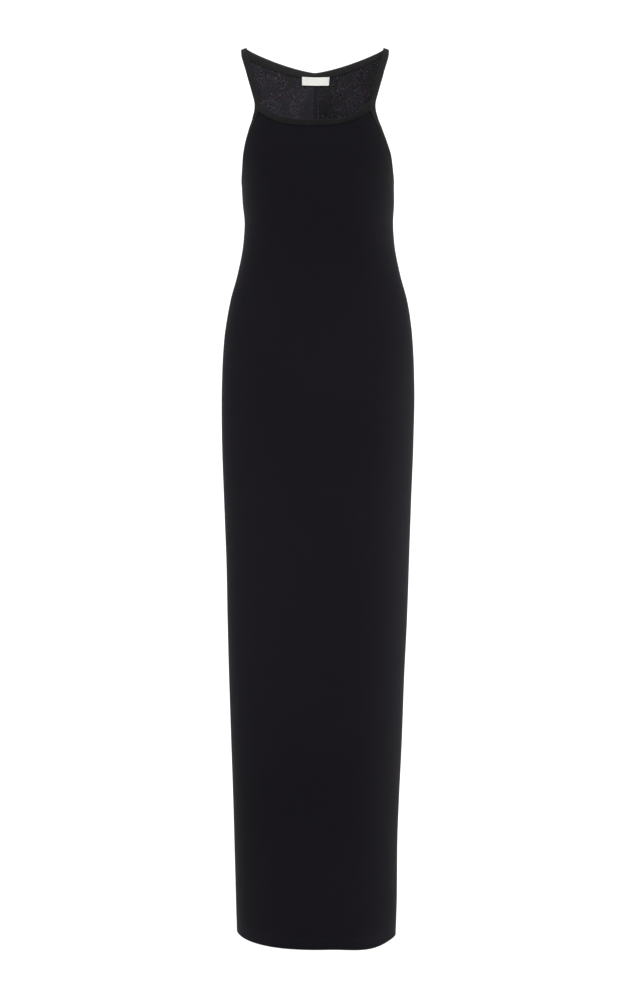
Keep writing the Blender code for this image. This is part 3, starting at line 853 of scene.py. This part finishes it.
class LookSettings(PropertyGroup):
    """Colours and sheen."""

    sheen: amount("Sheen", "How much the fibres catch light at the edges", 0.01)
    wale: length("Wale", "Width of one rib of the knit", 0.75, 0.3, 3)
    jersey: tint("Jersey", "Outside of the jersey", 0.0077, 0.0068, 0.0093)
    # Painted shade: how dark the jersey is painted above the hips, against the painted light over them
    relaxed: amount("Relaxed", "How light the jersey is where the hips don't draw it", 0.87, high=2)
    # Painted highlight: how light the hem's lower corners are painted, against 1
    rubbed_hem: amount("Rubbed hem", "How light the hem is at the side seams, against 1", 1.3, high=3)
    inside: tint("Inside", "Inside of the jersey", 0.029, 0.0305, 0.0365)
    inside_grey: tint("Inside, grey", "Duller yarns inside", 0.0308, 0.0316, 0.0318)
    inside_warm: tint("Inside, warm", "Warmer yarns inside", 0.0352, 0.0288, 0.038)
    # Painted shade: how dark the wearer's left back is painted inside, against 1
    against_nap: amount("Against the nap", "How light the left back's inside is, against 1", 0.66, high=2)
    fleck: tint("Fleck", "Bright flecks inside", 0.19, 0.172, 0.195)
    binding: tint("Binding", "The neck bindings", 0.0095, 0.0093, 0.0099)
    # Painted highlight along the neck bindings' folded edges
    worn_edge: tint("Rubbed fold", "The neck bindings' folded edges", 0.013, 0.0127, 0.0128)
    # Painted light: the armhole bindings' jersey, lighter than the neck bindings' for how the light falls
    # on them
    strap: tint("Strap", "The armhole bindings", 0.0165, 0.0163, 0.0168)
    # Painted highlight along the armhole bindings' folded edges
    worn_strap: tint("Rubbed strap", "The armhole bindings' folded edges", 0.026, 0.0255, 0.0255)
    allowance: tint("Allowances", "The pressed seam allowances", 0.02, 0.0195, 0.024)
    binding_inside: tint("Binding inside", "The bindings' inside faces", 0.031, 0.0295, 0.0295)
    # Painted highlight along the bindings' folded edges, inside
    worn_edge_inside: tint("Rubbed fold, inside", "The folded edges from inside", 0.055, 0.054, 0.05)
    seam_shade: amount("Seam shade", "How light the cloth is in a seam's ditch, against 1", 0.4)
    thread: tint("Thread", "Sewing thread", 0.0035, 0.0034, 0.0038)
    # Partly a painted highlight along the overlocked edges
    looper_thread: tint("Looper thread", "Crimped yarn on the overlocked edges", 0.1, 0.097, 0.104)
    label: tint("Label", "The blank label", 0.96, 0.95, 0.9)
    # Painted light: how much the label glows
    brightener: amount("Brightener", "How much light the label's brightener gives back", 0.12)
    lint: tint("Lint", "Specks of lint", 0.05, 0.048, 0.05)


class LabelSettings(PropertyGroup):
    """The blank label inside the back neck."""

    width: length("Width", "Side to side", 47)
    height: length("Height", "Top to bottom", 13.2)
    drop: length("Drop", "Its top below the shoulder crest", 30.9)
    off: length("Off", "How far it is off to the wearer's left", 1.4)
    lean: amount("Lean", "How much lower it is to the wearer's left, a metre", 0.01, -0.2, 0.2)
    taper: length("Taper", "How much narrower its lower edge is", 1.0)
    wall: length("Wall", "Its thickness, folded ends and all", 0.9)


class StageSettings(PropertyGroup):
    """Floor, light and camera."""

    distance: length("Camera distance", "From the lens to the side seams", 2700)
    view_height: length("View height", "What the frame takes in, top to bottom", 1650)
    eye_x: length("Camera x", "Camera to the wearer's left", -4.95)
    eye_z: length("Camera z", "Camera height", -745.8)
    floor: length("Floor", "Floor below the hem", 300)
    room: amount("Room light", "White light from all round", 1.0, high=100)
    key_softbox: amount("Key softbox", "Power of the light in front on the right", 8.0, high=1000)
    right_softbox: amount("Right softbox", "Power of the light on the right", 1.95, high=1000)
    left_softbox: amount("Left softbox", "Power of the light on the left", 0.16, high=1000)
    top_softbox: amount("Top softbox", "Power of the light above", 3.0, high=1000)
    sweep_softbox: amount("Sweep softbox", "Power of the light on the sweep", 60.0, high=1000)


class DressSettings(PropertyGroup):
    """All of the dress's settings."""

    sewing: pointer(SewingSettings, "Sewing")
    look: pointer(LookSettings, "Look")
    label: pointer(LabelSettings, "Label")
    stage: pointer(StageSettings, "Stage")


def settings():
    return bpy.context.scene.dress


# ---- panels

# Name, facing, sides, solid, flat size and area of the whole cut, and the binding that holds it
PANELS = (
    ("front_panel", -1, (-1, 1), "front", (0.44, 1.37), 0.55, "neck_binding_front"),
    ("back_panel_left", 1, (1,), "back_left", (0.235, 1.48), 0.29, "neck_binding_back"),
    ("back_panel_right", 1, (-1,), "back_right", (0.235, 1.48), 0.29, "neck_binding_back"),
)

# Rows that end at an armhole, the ones above them that are tucked into the neck binding, and rows
# from the underarm to just above the hem
ARM_ROWS = 64
TUCKED_ROWS = 2
SIDE_ROWS = 140

# Rows near the hem, in mm above it, close together at its stitches and its fold, and the heights
# of its two rows of stitches and of the threads inside. The stitches sink in by HEM_GROOVE, and
# the cloth stops CLOTH_SHORT above the solids' hem, to leave room for its rolled fold.
HEM_ROWS = (23, 21, 20.3, 19.9, 19.3, 18.6, 18, 16.7, 16, 15.3, 14.6, 13, 10, 7, 4.5, 2.6, 1.4, 0.6, 0)
HEM_STITCHES = (15.6 * MM, 18.3 * MM)
HEM_COVER = 17 * MM
HEM_GROOVE = 0.09 * MM
CLOTH_SHORT = 0.7 * MM

# A panel's rows are level in the middle and curve up to its side: by how much at the underarm, in
# front and behind, how far down that goes on, and how square the curve is there
ROW_LIFT = {-1: 30 * MM, 1: 12 * MM}
LIFT_REACH = 170 * MM
ROW_CURVE = 2.2

# How far the valley along a seam reaches, and how far from an edge the cloth stands out in full
SEAM_REACH = 1.5 * MM
EASE_REACH = 6 * MM

# How deep the shade is beside an armhole outside and inside, along a seam, and in the hollow
ARM_SHADE = (1.3, 0.4)
VALLEY_SHADE = 0.5
HOLLOW_SHADE = 0.5


def sewn_edge(side, facing):
    """Where the cloth meets an armhole binding, from the crest down the front or the back."""
    return falling(beside(armhole_edge(side), side, ARMHOLE_BINDING + SEAM_GAP), facing)


def column_places(whole, seam_in_middle):
    """Distances along a half row, close together at its side and beside a seam in the middle."""
    close = np.array([0, 0.6, 1.2, 1.9, 2.8, 4.0, 5.8, 8.2]) * MM
    start = close if seam_in_middle else close[:1]
    end = whole - close[::-1]
    return np.concatenate([start, np.linspace(start[-1], end[0], 46)[1:-1], end])


def relief(points, facing):
    """How far the main creases and the drape stand out of the form."""
    away, drop = (points[..., 0] - section(-points[..., 2])[3]) / MM, -points[..., 2] / MM
    high = np.zeros(away.shape)
    for c in CREASES:
        if c.facing == facing:
            aside, down = c.to_away - c.away, c.to_drop - c.drop
            t = ((away - c.away) * aside + (drop - c.drop) * down) / (aside**2 + down**2)
            t = np.clip(t, 0, 1)
            off = np.hypot(away - c.away - aside * t, drop - c.drop - down * t)
            high += c.high * bell(off, c.wide) * np.sin(t * math.pi) ** 0.7
    skirt = np.clip((drop - DRAPE_DROP) / 700, 0, 1) ** 1.5
    angle = angle_of(points)
    waves = sum(tall * np.sin(angle * count + drop / turn + start) for tall, count, turn, start in DRAPE)
    return (high + skirt * waves) * MM


def half_rows(facing, side):
    """The half rows of a panel from the neck to the hem, each from its middle to one side."""
    neck = NECKS[facing]
    line = from_drop(sewn_edge(side, facing), neck.side_low[side > 0])
    line[-1, 1] = 0
    line = evenly(line, ARM_ROWS)
    low, curve, lift = -line[-1, 2], neck.curve_low[side > 0], ROW_LIFT[facing]
    top = neck.drop + neck.wide + SEAM_GAP
    rows = []
    for t, p in zip(np.linspace(0, 1, ARM_ROWS), line):
        rows.append(curved_row(p, top + (low + lift - top) * t, curve + (ROW_CURVE - curve) * t, facing))
    end = LENGTH - CLOTH_SHORT
    drops = np.linspace(low, end - settings().sewing.hem_turn - 4 * MM, SIDE_ROWS)[1:]
    for drop in np.concatenate([drops, end - np.array(HEM_ROWS) * MM]):
        p = cloth(side * math.pi / 2, drop)
        p[1] = 0
        middle = drop + lift * max(0.0, 1 - (drop - low) / LIFT_REACH) ** 1.5
        rows.append(hung(curved_row(p, middle, ROW_CURVE, facing)))
    return rows


def panel_grid(facing, sides):
    """All of a panel's points, its edges tucked into the bindings, and its middle column."""
    tuck = settings().sewing.tuck
    halves = []
    for side in sides:
        grid = []
        for k, row in enumerate(half_rows(facing, side)):
            into = tuck * min(1.0, max(0, ARM_ROWS - 1 - k) / 4)
            places = column_places(lengths(row)[-1] + into, facing > 0)
            grid.append(at_lengths(extended(row, into) if into else row, places))
        up = unit(grid[0] - grid[1])
        halves.append(np.stack([settle(grid[0] + up * tuck * s) for s in (1.0, 0.5)] + grid))
    if facing > 0:
        return halves[0], 0
    return both_sides(halves), halves[0].shape[1] - 1


def make_panel(name, facing, sides):
    """One panel of cloth with its hem turned up. The lines of its hem's stitches go to LINES."""
    sewing = settings().sewing
    rows, middle = panel_grid(facing, sides)
    across = lengths(rows)
    across = (across - across[:, middle, None]) * (-1 if sides == (-1,) else 1)
    fall = lengths(rows[:, middle])[:, None]
    number = np.arange(len(rows))[:, None]
    skirt = np.clip((number - ARM_ROWS) / 3, 0, 1)
    off_sides = [np.abs(across - across[:, k, None]) for k in ((-1,) if facing > 0 else (-1, 0))]
    valley = sum(bell(off, SEAM_REACH) for off in off_sides) * skirt
    if facing > 0:
        valley = valley + bell(across, SEAM_REACH)
    inner = np.maximum(np.clip(np.min(off_sides, 0) / EASE_REACH, 0, 1), skirt)
    stands = relief(rows, facing) + sewing.ease * inner * np.clip(number / 8, 0, 1)
    above_hem = fall[-1] - fall
    stitched = sum(bell(above_hem - h, 0.5 * MM) for h in HEM_STITCHES)
    height = stands * (1 - np.minimum(valley, 1)) - sewing.seam_valley * valley - HEM_GROOVE * stitched
    over = sewing.wall / 2 + height
    under = sewing.wall / 2 - height + np.where(above_hem < sewing.hem_turn, sewing.wall * 1.1, 0.0)
    # The wearer's left back takes the inside with painted shade
    inside = black_jersey_inside_against if sides == (1,) else black_jersey_inside
    uv = np.stack(np.broadcast_arrays(across, -fall), -1)
    faces = [material(black_jersey_outside), material(inside)]
    thing = shell(name, rows, over, under, uv, faces, rolled_hem=sewing.wall)
    shade = np.zeros(len(thing.data.vertices), np.float32)
    shade[: 2 * over.size] = ditches(rows, across, off_sides, valley, sides == (1,)).ravel()
    thing.data.attributes.new("ditch", "FLOAT", "POINT").data.foreach_set("value", shade)
    n = normals(rows)
    for h in HEM_STITCHES:
        k = int(np.abs(above_hem - h).argmin())
        LINES["hem"].append((rows[k] + n[k] * over[k][:, None], n[k], False))
    k = int(np.abs(above_hem - HEM_COVER).argmin())
    LINES["hem inside"].append((rows[k] - n[k] * under[k][:, None], -n[k], False))
    return thing


def ditches(rows, across, off_sides, valley, with_hollow_shade):
    """How far each point of a panel, outside and inside, is in the shade of a binding or a seam."""
    tuck = settings().sewing.tuck
    neck, arm = np.zeros(across.shape), np.zeros(across.shape)
    from_top = lengths(rows[:8].swapaxes(0, 1)).mean(0)
    neck[:8] = bell(from_top - tuck - 0.4 * MM, 1.1 * MM)[:, None]
    beside_arm = np.clip((ARM_ROWS + TUCKED_ROWS - np.arange(len(rows))) / 2, 0, 1)[:, None]
    for off in off_sides:
        arm = arm + beside_arm * bell(off - tuck - 1.0 * MM, 2.0 * MM)
    outer, inner = (neck + share * arm + VALLEY_SHADE * valley for share in ARM_SHADE)
    # Painted shade on the wearer's left back inside, beside the seam allowance
    if with_hollow_shade:
        down = bell(-rows[..., 2] - HOLLOW_DROP, HOLLOW_REACH)
        inner = inner + HOLLOW_SHADE * down * bell(across - 0.9 * HOLLOW_REACH, HOLLOW_REACH)
    return np.clip(np.stack([outer, inner]), 0, 1)


class DRESS_OT_panels(Operator):
    """Cut and hang the front and the two backs"""

    bl_idname = "dress.panels"
    bl_label = "Panels"

    def execute(self, context):
        for name, facing, sides, node, flat, area, holder in PANELS:
            thing = make_panel(name, facing, sides)
            tie(thing, node)
        return {"FINISHED"}


# ---- bindings

# How far a neck binding goes into the armhole bindings, how many of its stations grow thinner
# there, and how many stations half of it has
INTO_ARM = 5 * MM
FADING = 8
HALF_BAND = 170


def neck_lines(neck, facing):
    """The two edges of a neck binding from strap to strap, a little into the armhole bindings."""
    edges = []
    for side_drop, drop, curve in (
        (neck.side, neck.drop, (neck.curve, neck.curve)),
        (neck.side_low, neck.drop + neck.wide, neck.curve_low),
    ):
        halves = []
        for side in (-1, 1):
            start = from_drop(sewn_edge(side, facing), side_drop[side > 0])[0]
            row = extended(curved_row(start, drop, curve[side > 0], facing), INTO_ARM)
            halves.append(evenly(row, HALF_BAND))
        edges.append(both_sides(halves))
    return edges


class DRESS_OT_bindings(Operator):
    """Fold and sew the bindings of the armholes and the neck"""

    bl_idname = "dress.bindings"
    bl_label = "Bindings"

    def execute(self, context):
        back = material(jersey_binding_inside)
        for which, side in SIDES.items():
            edge = armhole_edge(side)
            faces = [material(jersey_strap), back]
            thing = band("armhole_band_" + which, edge, beside(edge, side, ARMHOLE_BINDING), True, faces)
            tie(thing, "armhole_binding_" + which)
        for which, facing in (("front", -1), ("back", 1)):
            near, far = neck_lines(NECKS[facing], facing)
            faces = [material(jersey_binding), back]
            thing = band("neck_band_" + which, near, far, False, faces, fade=FADING)
            tie(thing, "neck_binding_" + which)
        return {"FINISHED"}


# ---- label and allowances

# The label's black stitches, which also stand in for the painted shadow line round it, go round it this far
# outside it, and its ends are folded under beyond this share of its width from its middle
LABEL_STITCH_OFF = 0.75 * MM
LABEL_FOLD = 0.37

# An allowance starts a little on the other side of its seam, at the centre back and at the sides.
# Across it, to its free edge: shares of its width, and of its thickness. The looper's thread lies
# this far above the free edge.
CENTRE_START = -1.5 * MM
SIDE_START = -0.8 * MM
ALLOWANCE_PLACES = np.array([0, 0.04, 0.2, 0.4, 0.6, 0.8, 0.92, 0.97, 1.0])
ALLOWANCE_THICK = np.array([0.5, 0.85, 1, 1, 1, 1, 0.95, 0.8, 0.5])
FREE_THREAD_LIFT = 0.35 * MM


class DRESS_OT_label(Operator):
    """Weave the blank label inside the back neck"""

    bl_idname = "dress.label"
    bl_label = "Label"

    def execute(self, context):
        size, satin = settings().label, material(woven_label)
        inset = SOLID_WALL + SEAM_GAP + size.wall / 2 + 0.1 * MM
        s, t = np.meshgrid(np.linspace(-0.5, 0.5, 61), np.linspace(0, 1, 25))
        away = size.off + size.width * s - size.taper * t * (s + 0.5)
        rows = cloth_at(away, size.drop + size.height * t + size.lean * size.width * s, 1)
        curl = 0.25 * MM * np.sin(s * 9 + 0.6) * t + 0.5 * MM * t**3
        rows = rows - normals(rows) * (inset + curl)[..., None]
        folded = np.clip((np.abs(s) - LABEL_FOLD) / 0.012, 0, 1)
        edge = np.minimum((0.5 - np.abs(s)) * size.width, np.minimum(t, 1 - t) * size.height)
        thick = size.wall * (0.32 + 0.18 * folded) * np.clip(0.55 + 0.45 * edge / (0.5 * MM), 0, 1)
        uv = np.stack([size.width * s, -size.height * t], -1)
        thing = shell("neck_label_blank", rows, thick, thick, uv, [satin, satin])
        # Black stitches all round the label, also put there as its painted shadow line
        top, wide = -LABEL_STITCH_OFF, size.width / 2 + LABEL_STITCH_OFF
        low = size.height + LABEL_STITCH_OFF
        corners = np.array([(-wide, top), (wide, top), (wide - size.taper, low), (-wide, low)])
        for a, b in zip(corners, np.roll(corners, -1, 0)):
            x, z = np.linspace(a, b, 40).T
            line = cloth_at(size.off + x, size.drop + z + size.lean * x, 1)
            up = -normals(line)
            LINES["label"].append((line + up * (inset + 0.15 * MM), up, False))
        tie(thing, "neck_label")
        return {"FINISHED"}


def seam_drops(top):
    """Drops down a seam to the top of the turned-up hem."""
    return np.linspace(top, LENGTH - settings().sewing.hem_turn - 1 * MM, 330)


def allowance_strip(name, line, toward, start, width, node=None):
    """Both allowances of a seam, overlocked together and pressed to one side, inside. The lines
    of their overlock go to LINES."""
    wall = settings().sewing.wall
    run = lengths(line)[:, None]
    places = start + (width - start) * ALLOWANCE_PLACES
    out = np.clip(places / width, 0, 1)
    wander = 0.35 * MM * np.sin(run * 37) + 0.25 * MM * np.sin(run * 83 + 2)
    across = unit(np.cross(unit(np.gradient(line, axis=0)), normals(line))) * toward
    rows = settle(line[:, None] + across[:, None] * (places + wander * out**2)[..., None])
    n = normals(rows)
    lift = 0.3 * MM * out**3 * (1 + np.sin(run * 29)) * 0.5
    rows = rows - n * (wall / 2 + 0.15 * MM + wall * 0.55 + lift)[..., None]
    half = wall * 0.55 * ALLOWANCE_THICK
    uv = np.stack(np.broadcast_arrays(places, -run), -1)
    thing = shell(name, rows, half, half, uv, [material(jersey_allowance)] * 2)
    tie(thing, node)
    up = -n[:, -2]
    edge = rows[:, -2] + up * half[-2] * 0.9
    middle = rows[:, -4] - n[:, -4] * half[-4]
    LINES["overlock"].append((middle + (edge - middle) * 0.45, up, False))
    LINES["free edge"].append((rows[:, -1] + up * FREE_THREAD_LIFT, up, False))


class DRESS_OT_allowances(Operator):
    """Press the seam allowances of the centre back and the sides"""

    bl_idname = "dress.allowances"
    bl_label = "Seam allowances"

    def execute(self, context):
        label, width = settings().label, settings().sewing.allowance
        drops = seam_drops(label.drop + label.height - 3 * MM)
        line = cloth(math.pi, drops)
        line[:, 0] = section(drops)[3]
        end = width + CENTRE_START
        allowance_strip("centre_back_allowance", line, 1, CENTRE_START, end, "centre_back_seam")
        for which, side in SIDES.items():
            drops = seam_drops(UNDERARM_DROP + ARMHOLE_BINDING)
            line = hung(np.stack([cloth(side * math.pi / 2, d) for d in drops]))
            allowance_strip("side_allowance_" + which, line, -side, SIDE_START, width)
        return {"FINISHED"}


# ---- stitches

STITCH_TREE = "stitches_along_a_line"
STITCH_INPUTS = {
    "Spacing": "Float",
    "Stitch length": "Float",
    "Thread thickness": "Float",
    "Turn": "Float",
    "Thread material": "Material",
}


def stitch_tree():
    """Geometry nodes that lay one stitch after another along a line."""
    tree = bpy.data.node_groups.new(STITCH_TREE, "GeometryNodeTree")
    for name, kind in {"Line": "Geometry", **STITCH_INPUTS}.items():
        tree.interface.new_socket(name, in_out="INPUT", socket_type="NodeSocket" + kind)
    tree.interface.new_socket("Stitches", in_out="OUTPUT", socket_type="NodeSocketGeometry")

    def add(kind, inputs, **values):
        return add_node(tree, kind, inputs, **values).outputs[0]

    given = tree.nodes.new("NodeGroupInput").outputs
    curve = add("GeometryNodeMeshToCurve", {0: given["Line"]})
    even = add("GeometryNodeResampleCurve", {"Curve": curve, "Length": given["Spacing"]}, mode="LENGTH")
    tangent = add("GeometryNodeInputTangent", {})
    along = add("FunctionNodeAlignRotationToVector", {"Vector": tangent}, axis="X")
    up = add("GeometryNodeInputNamedAttribute", {"Name": "up"}, data_type="FLOAT_VECTOR")
    aim = {"Rotation": along, "Vector": up}
    flat = add("FunctionNodeAlignRotationToVector", aim, axis="Z", pivot_axis="X")
    spin = add("FunctionNodeAxisAngleToRotation", {"Axis": (0, 0, 1), "Angle": given["Turn"]})
    turned = add("FunctionNodeRotateRotation", {0: flat, 1: spin}, rotation_space="LOCAL")
    bead = add("GeometryNodeMeshUVSphere", {"Segments": 8, "Rings": 4, "Radius": 0.5})
    lying = add("GeometryNodeTransform", {"Geometry": bead, "Rotation": (0, math.pi / 2, 0)})
    thick = given["Thread thickness"]
    size = add("ShaderNodeCombineXYZ", {0: given["Stitch length"], 1: thick, 2: thick})
    laid = {"Points": even, "Instance": lying, "Rotation": turned, "Scale": size}
    real = add("GeometryNodeRealizeInstances", {0: add("GeometryNodeInstanceOnPoints", laid)})
    soft = add("GeometryNodeSetShadeSmooth", {"Geometry": real})
    painted = add("GeometryNodeSetMaterial", {"Geometry": soft, "Material": given["Thread material"]})
    tree.links.new(painted, tree.nodes.new("NodeGroupOutput").inputs[0])
    return tree


def lay_stitches(name, lines, values):
    """Stitches along lines of (points, up, closed), as one plain mesh."""
    if not lines:
        raise RuntimeError(name + " has no cloth to be sewn on yet")
    edges, first = [], 0
    for points, _, closed in lines:
        edges += [(first + k, first + k + 1) for k in range(len(points) - 1)]
        if closed:
            edges.append((first + len(points) - 1, first))
        first += len(points)
    mesh = bpy.data.meshes.new(name + "_line")
    mesh.from_pydata(np.concatenate([points for points, _, _ in lines]), edges, [])
    ups = np.concatenate([up for _, up, _ in lines]).astype(np.float32)
    mesh.attributes.new("up", "FLOAT_VECTOR", "POINT").data.foreach_set("vector", ups.ravel())
    guide = add_object(name + "_line", mesh)
    nodes = guide.modifiers.new("stitches", "NODES")
    nodes.node_group = bpy.data.node_groups.get(STITCH_TREE) or stitch_tree()
    for item in nodes.node_group.interface.items_tree:
        if item.name in STITCH_INPUTS:
            nodes[item.identifier] = values[item.name]
    graph = bpy.context.evaluated_depsgraph_get()
    done = bpy.data.meshes.new_from_object(guide.evaluated_get(graph))
    done.name = name
    guide.modifiers.clear()
    bpy.data.objects.remove(guide)
    if not len(done.polygons):
        raise RuntimeError(name + " has no stitches")
    return add_object(name, done)


class DRESS_OT_stitches(Operator):
    """Sew the bindings, the hem, the seams and the label"""

    bl_idname = "dress.stitches"
    bl_label = "Stitches"

    def execute(self, context):
        s = settings().sewing
        black, crimped_and_highlit = material(black_thread), material(looper_thread)
        step, stitch, fine, bold = s.stitch_spacing, s.stitch_length, s.thread, 0.6 * MM
        # Piece, its lines, then the stitches' spacing, length, thickness and turn in degrees
        for name, key, spacing, long, thick, turn, yarn, slot in (
            ("binding_stitches", "bindings", step, stitch, fine, 3, black, "binding"),
            ("hem_stitches", "hem", step * 0.93, stitch, fine, 3, black, "jersey"),
            ("hem_cover_threads", "hem inside", step * 0.5, 3.6 * MM, fine, 48, black, "jersey"),
            ("overlock_threads", "overlock", s.overlock, s.allowance * 0.52, fine, 68, black, "jersey"),
            ("overlock_edge", "free edge", s.overlock, s.overlock * 1.15, bold, 8, crimped_and_highlit, "jersey"),
            # The label's stitches also stand in for its shadow line
            ("label_stitches", "label", 0.6 * MM, 1.7 * MM, bold, 78, black, "label"),
        ):
            values = dict(zip(STITCH_INPUTS, (spacing, long, thick, math.radians(turn), yarn)))
            tie(lay_stitches(name, LINES[key], values))
        return {"FINISHED"}


# ---- stage

# The sweep starts this far before the dress and turns up this far behind it, with this radius. It
# is this high and twice as wide.
SWEEP_START = 8.0
SWEEP_FROM = 4.4
SWEEP_ROUND = 1.8
SWEEP_HIGH = 8.0

# A light's name, place, aim, breadth and height, and how wide its beam spreads, in degrees
SOFTBOXES = (
    ("key_softbox", (0.7, -2.9, 0.5), (0, 0, -0.7), 1.1, 1.6, 180),
    ("right_softbox", (1.9, 0.5, -0.8), (0, 0, -0.8), 0.9, 1.2, 50),
    ("left_softbox", (-2.2, -0.6, -0.9), (0, 0, -0.9), 0.7, 1.0, 50),
    ("top_softbox", (0.1, -0.6, 1.3), (0, 0, -0.2), 1.6, 0.9, 180),
    ("sweep_softbox", (0, 2.6, 2.2), (0, 5, -1), 3.0, 1.0, 180),
)


class DRESS_OT_stage(Operator):
    """Set the pale floor, the soft light and the camera"""

    bl_idname = "dress.stage"
    bl_label = "Stage"

    def execute(self, context):
        stage, scene = settings().stage, context.scene
        profile = [(-SWEEP_START, 0.0)]
        for a in np.linspace(0, math.pi / 2, 17):
            profile.append((SWEEP_FROM + SWEEP_ROUND * math.sin(a), SWEEP_ROUND * (1 - math.cos(a))))
        profile.append((SWEEP_FROM + SWEEP_ROUND, SWEEP_HIGH))
        floor = -LENGTH - stage.floor
        points = [(x, y, floor + z) for x in (-SWEEP_HIGH, SWEEP_HIGH) for y, z in profile]
        n = len(profile)
        faces = [(k, k + n, k + n + 1, k + 1) for k in range(n - 1)]
        sweep = add_object("studio_sweep", new_mesh("studio_sweep", points, faces))
        sweep.data.materials.append(material(pale_sweep))
        scene.world = bpy.data.worlds.new("studio")
        scene.world.use_nodes = True
        light = {"Color": (1, 1, 1, 1), "Strength": stage.room}
        fill(scene.world.node_tree, scene.world.node_tree.nodes["Background"], light)
        for name, place, aim, wide, high, spread in SOFTBOXES:
            box = add_object(name, bpy.data.lights.new(name, "AREA"))
            box.location = place
            box.rotation_euler = (Vector(aim) - Vector(place)).to_track_quat("-Z", "Y").to_euler()
            box.data.shape = "RECTANGLE"
            box.data.size, box.data.size_y = wide, high
            box.data.energy = getattr(stage, name)
            box.data.spread = math.radians(spread)
        camera = add_object("camera", bpy.data.cameras.new("camera"))
        camera.location = (stage.eye_x, -stage.distance, stage.eye_z)
        camera.rotation_euler = (math.pi / 2, 0, 0)
        camera.data.lens = camera.data.sensor_width * stage.distance / stage.view_height
        scene.camera = camera
        scene.view_settings.view_transform = "Standard"
        return {"FINISHED"}


# ---- panel in the sidebar


class DRESS_PT_sidebar(Panel):
    """The steps of the dress, in order"""

    bl_idname = "DRESS_PT_sidebar"
    bl_label = "Maxi dress"
    bl_space_type = "VIEW_3D"
    bl_region_type = "UI"
    bl_category = "Dress"

    def draw(self, context):
        for step in STEPS:
            self.layout.operator(step.bl_idname)
        for group in (settings().sewing, settings().look, settings().label, settings().stage):
            box = self.layout.box()
            for key in group.__annotations__:
                box.prop(group, key)


STEPS = (
    DRESS_OT_panels, DRESS_OT_bindings, DRESS_OT_label, DRESS_OT_allowances, DRESS_OT_stitches,
    DRESS_OT_stage,
)
GROUPS = (SewingSettings, LookSettings, LabelSettings, StageSettings, DressSettings)
CLASSES = (*GROUPS, *STEPS, DRESS_PT_sidebar)


def register():
    for kind in CLASSES:
        bpy.utils.register_class(kind)
    bpy.types.Scene.dress = pointer(DressSettings, "Dress")


def unregister():
    del bpy.types.Scene.dress
    for kind in reversed(CLASSES):
        bpy.utils.unregister_class(kind)


def main():
    register()
    bpy.ops.dress.panels()
    bpy.ops.dress.bindings()
    bpy.ops.dress.label()
    bpy.ops.dress.allowances()
    bpy.ops.dress.stitches()
    bpy.ops.dress.stage()


if __name__ == "__main__":
    main()
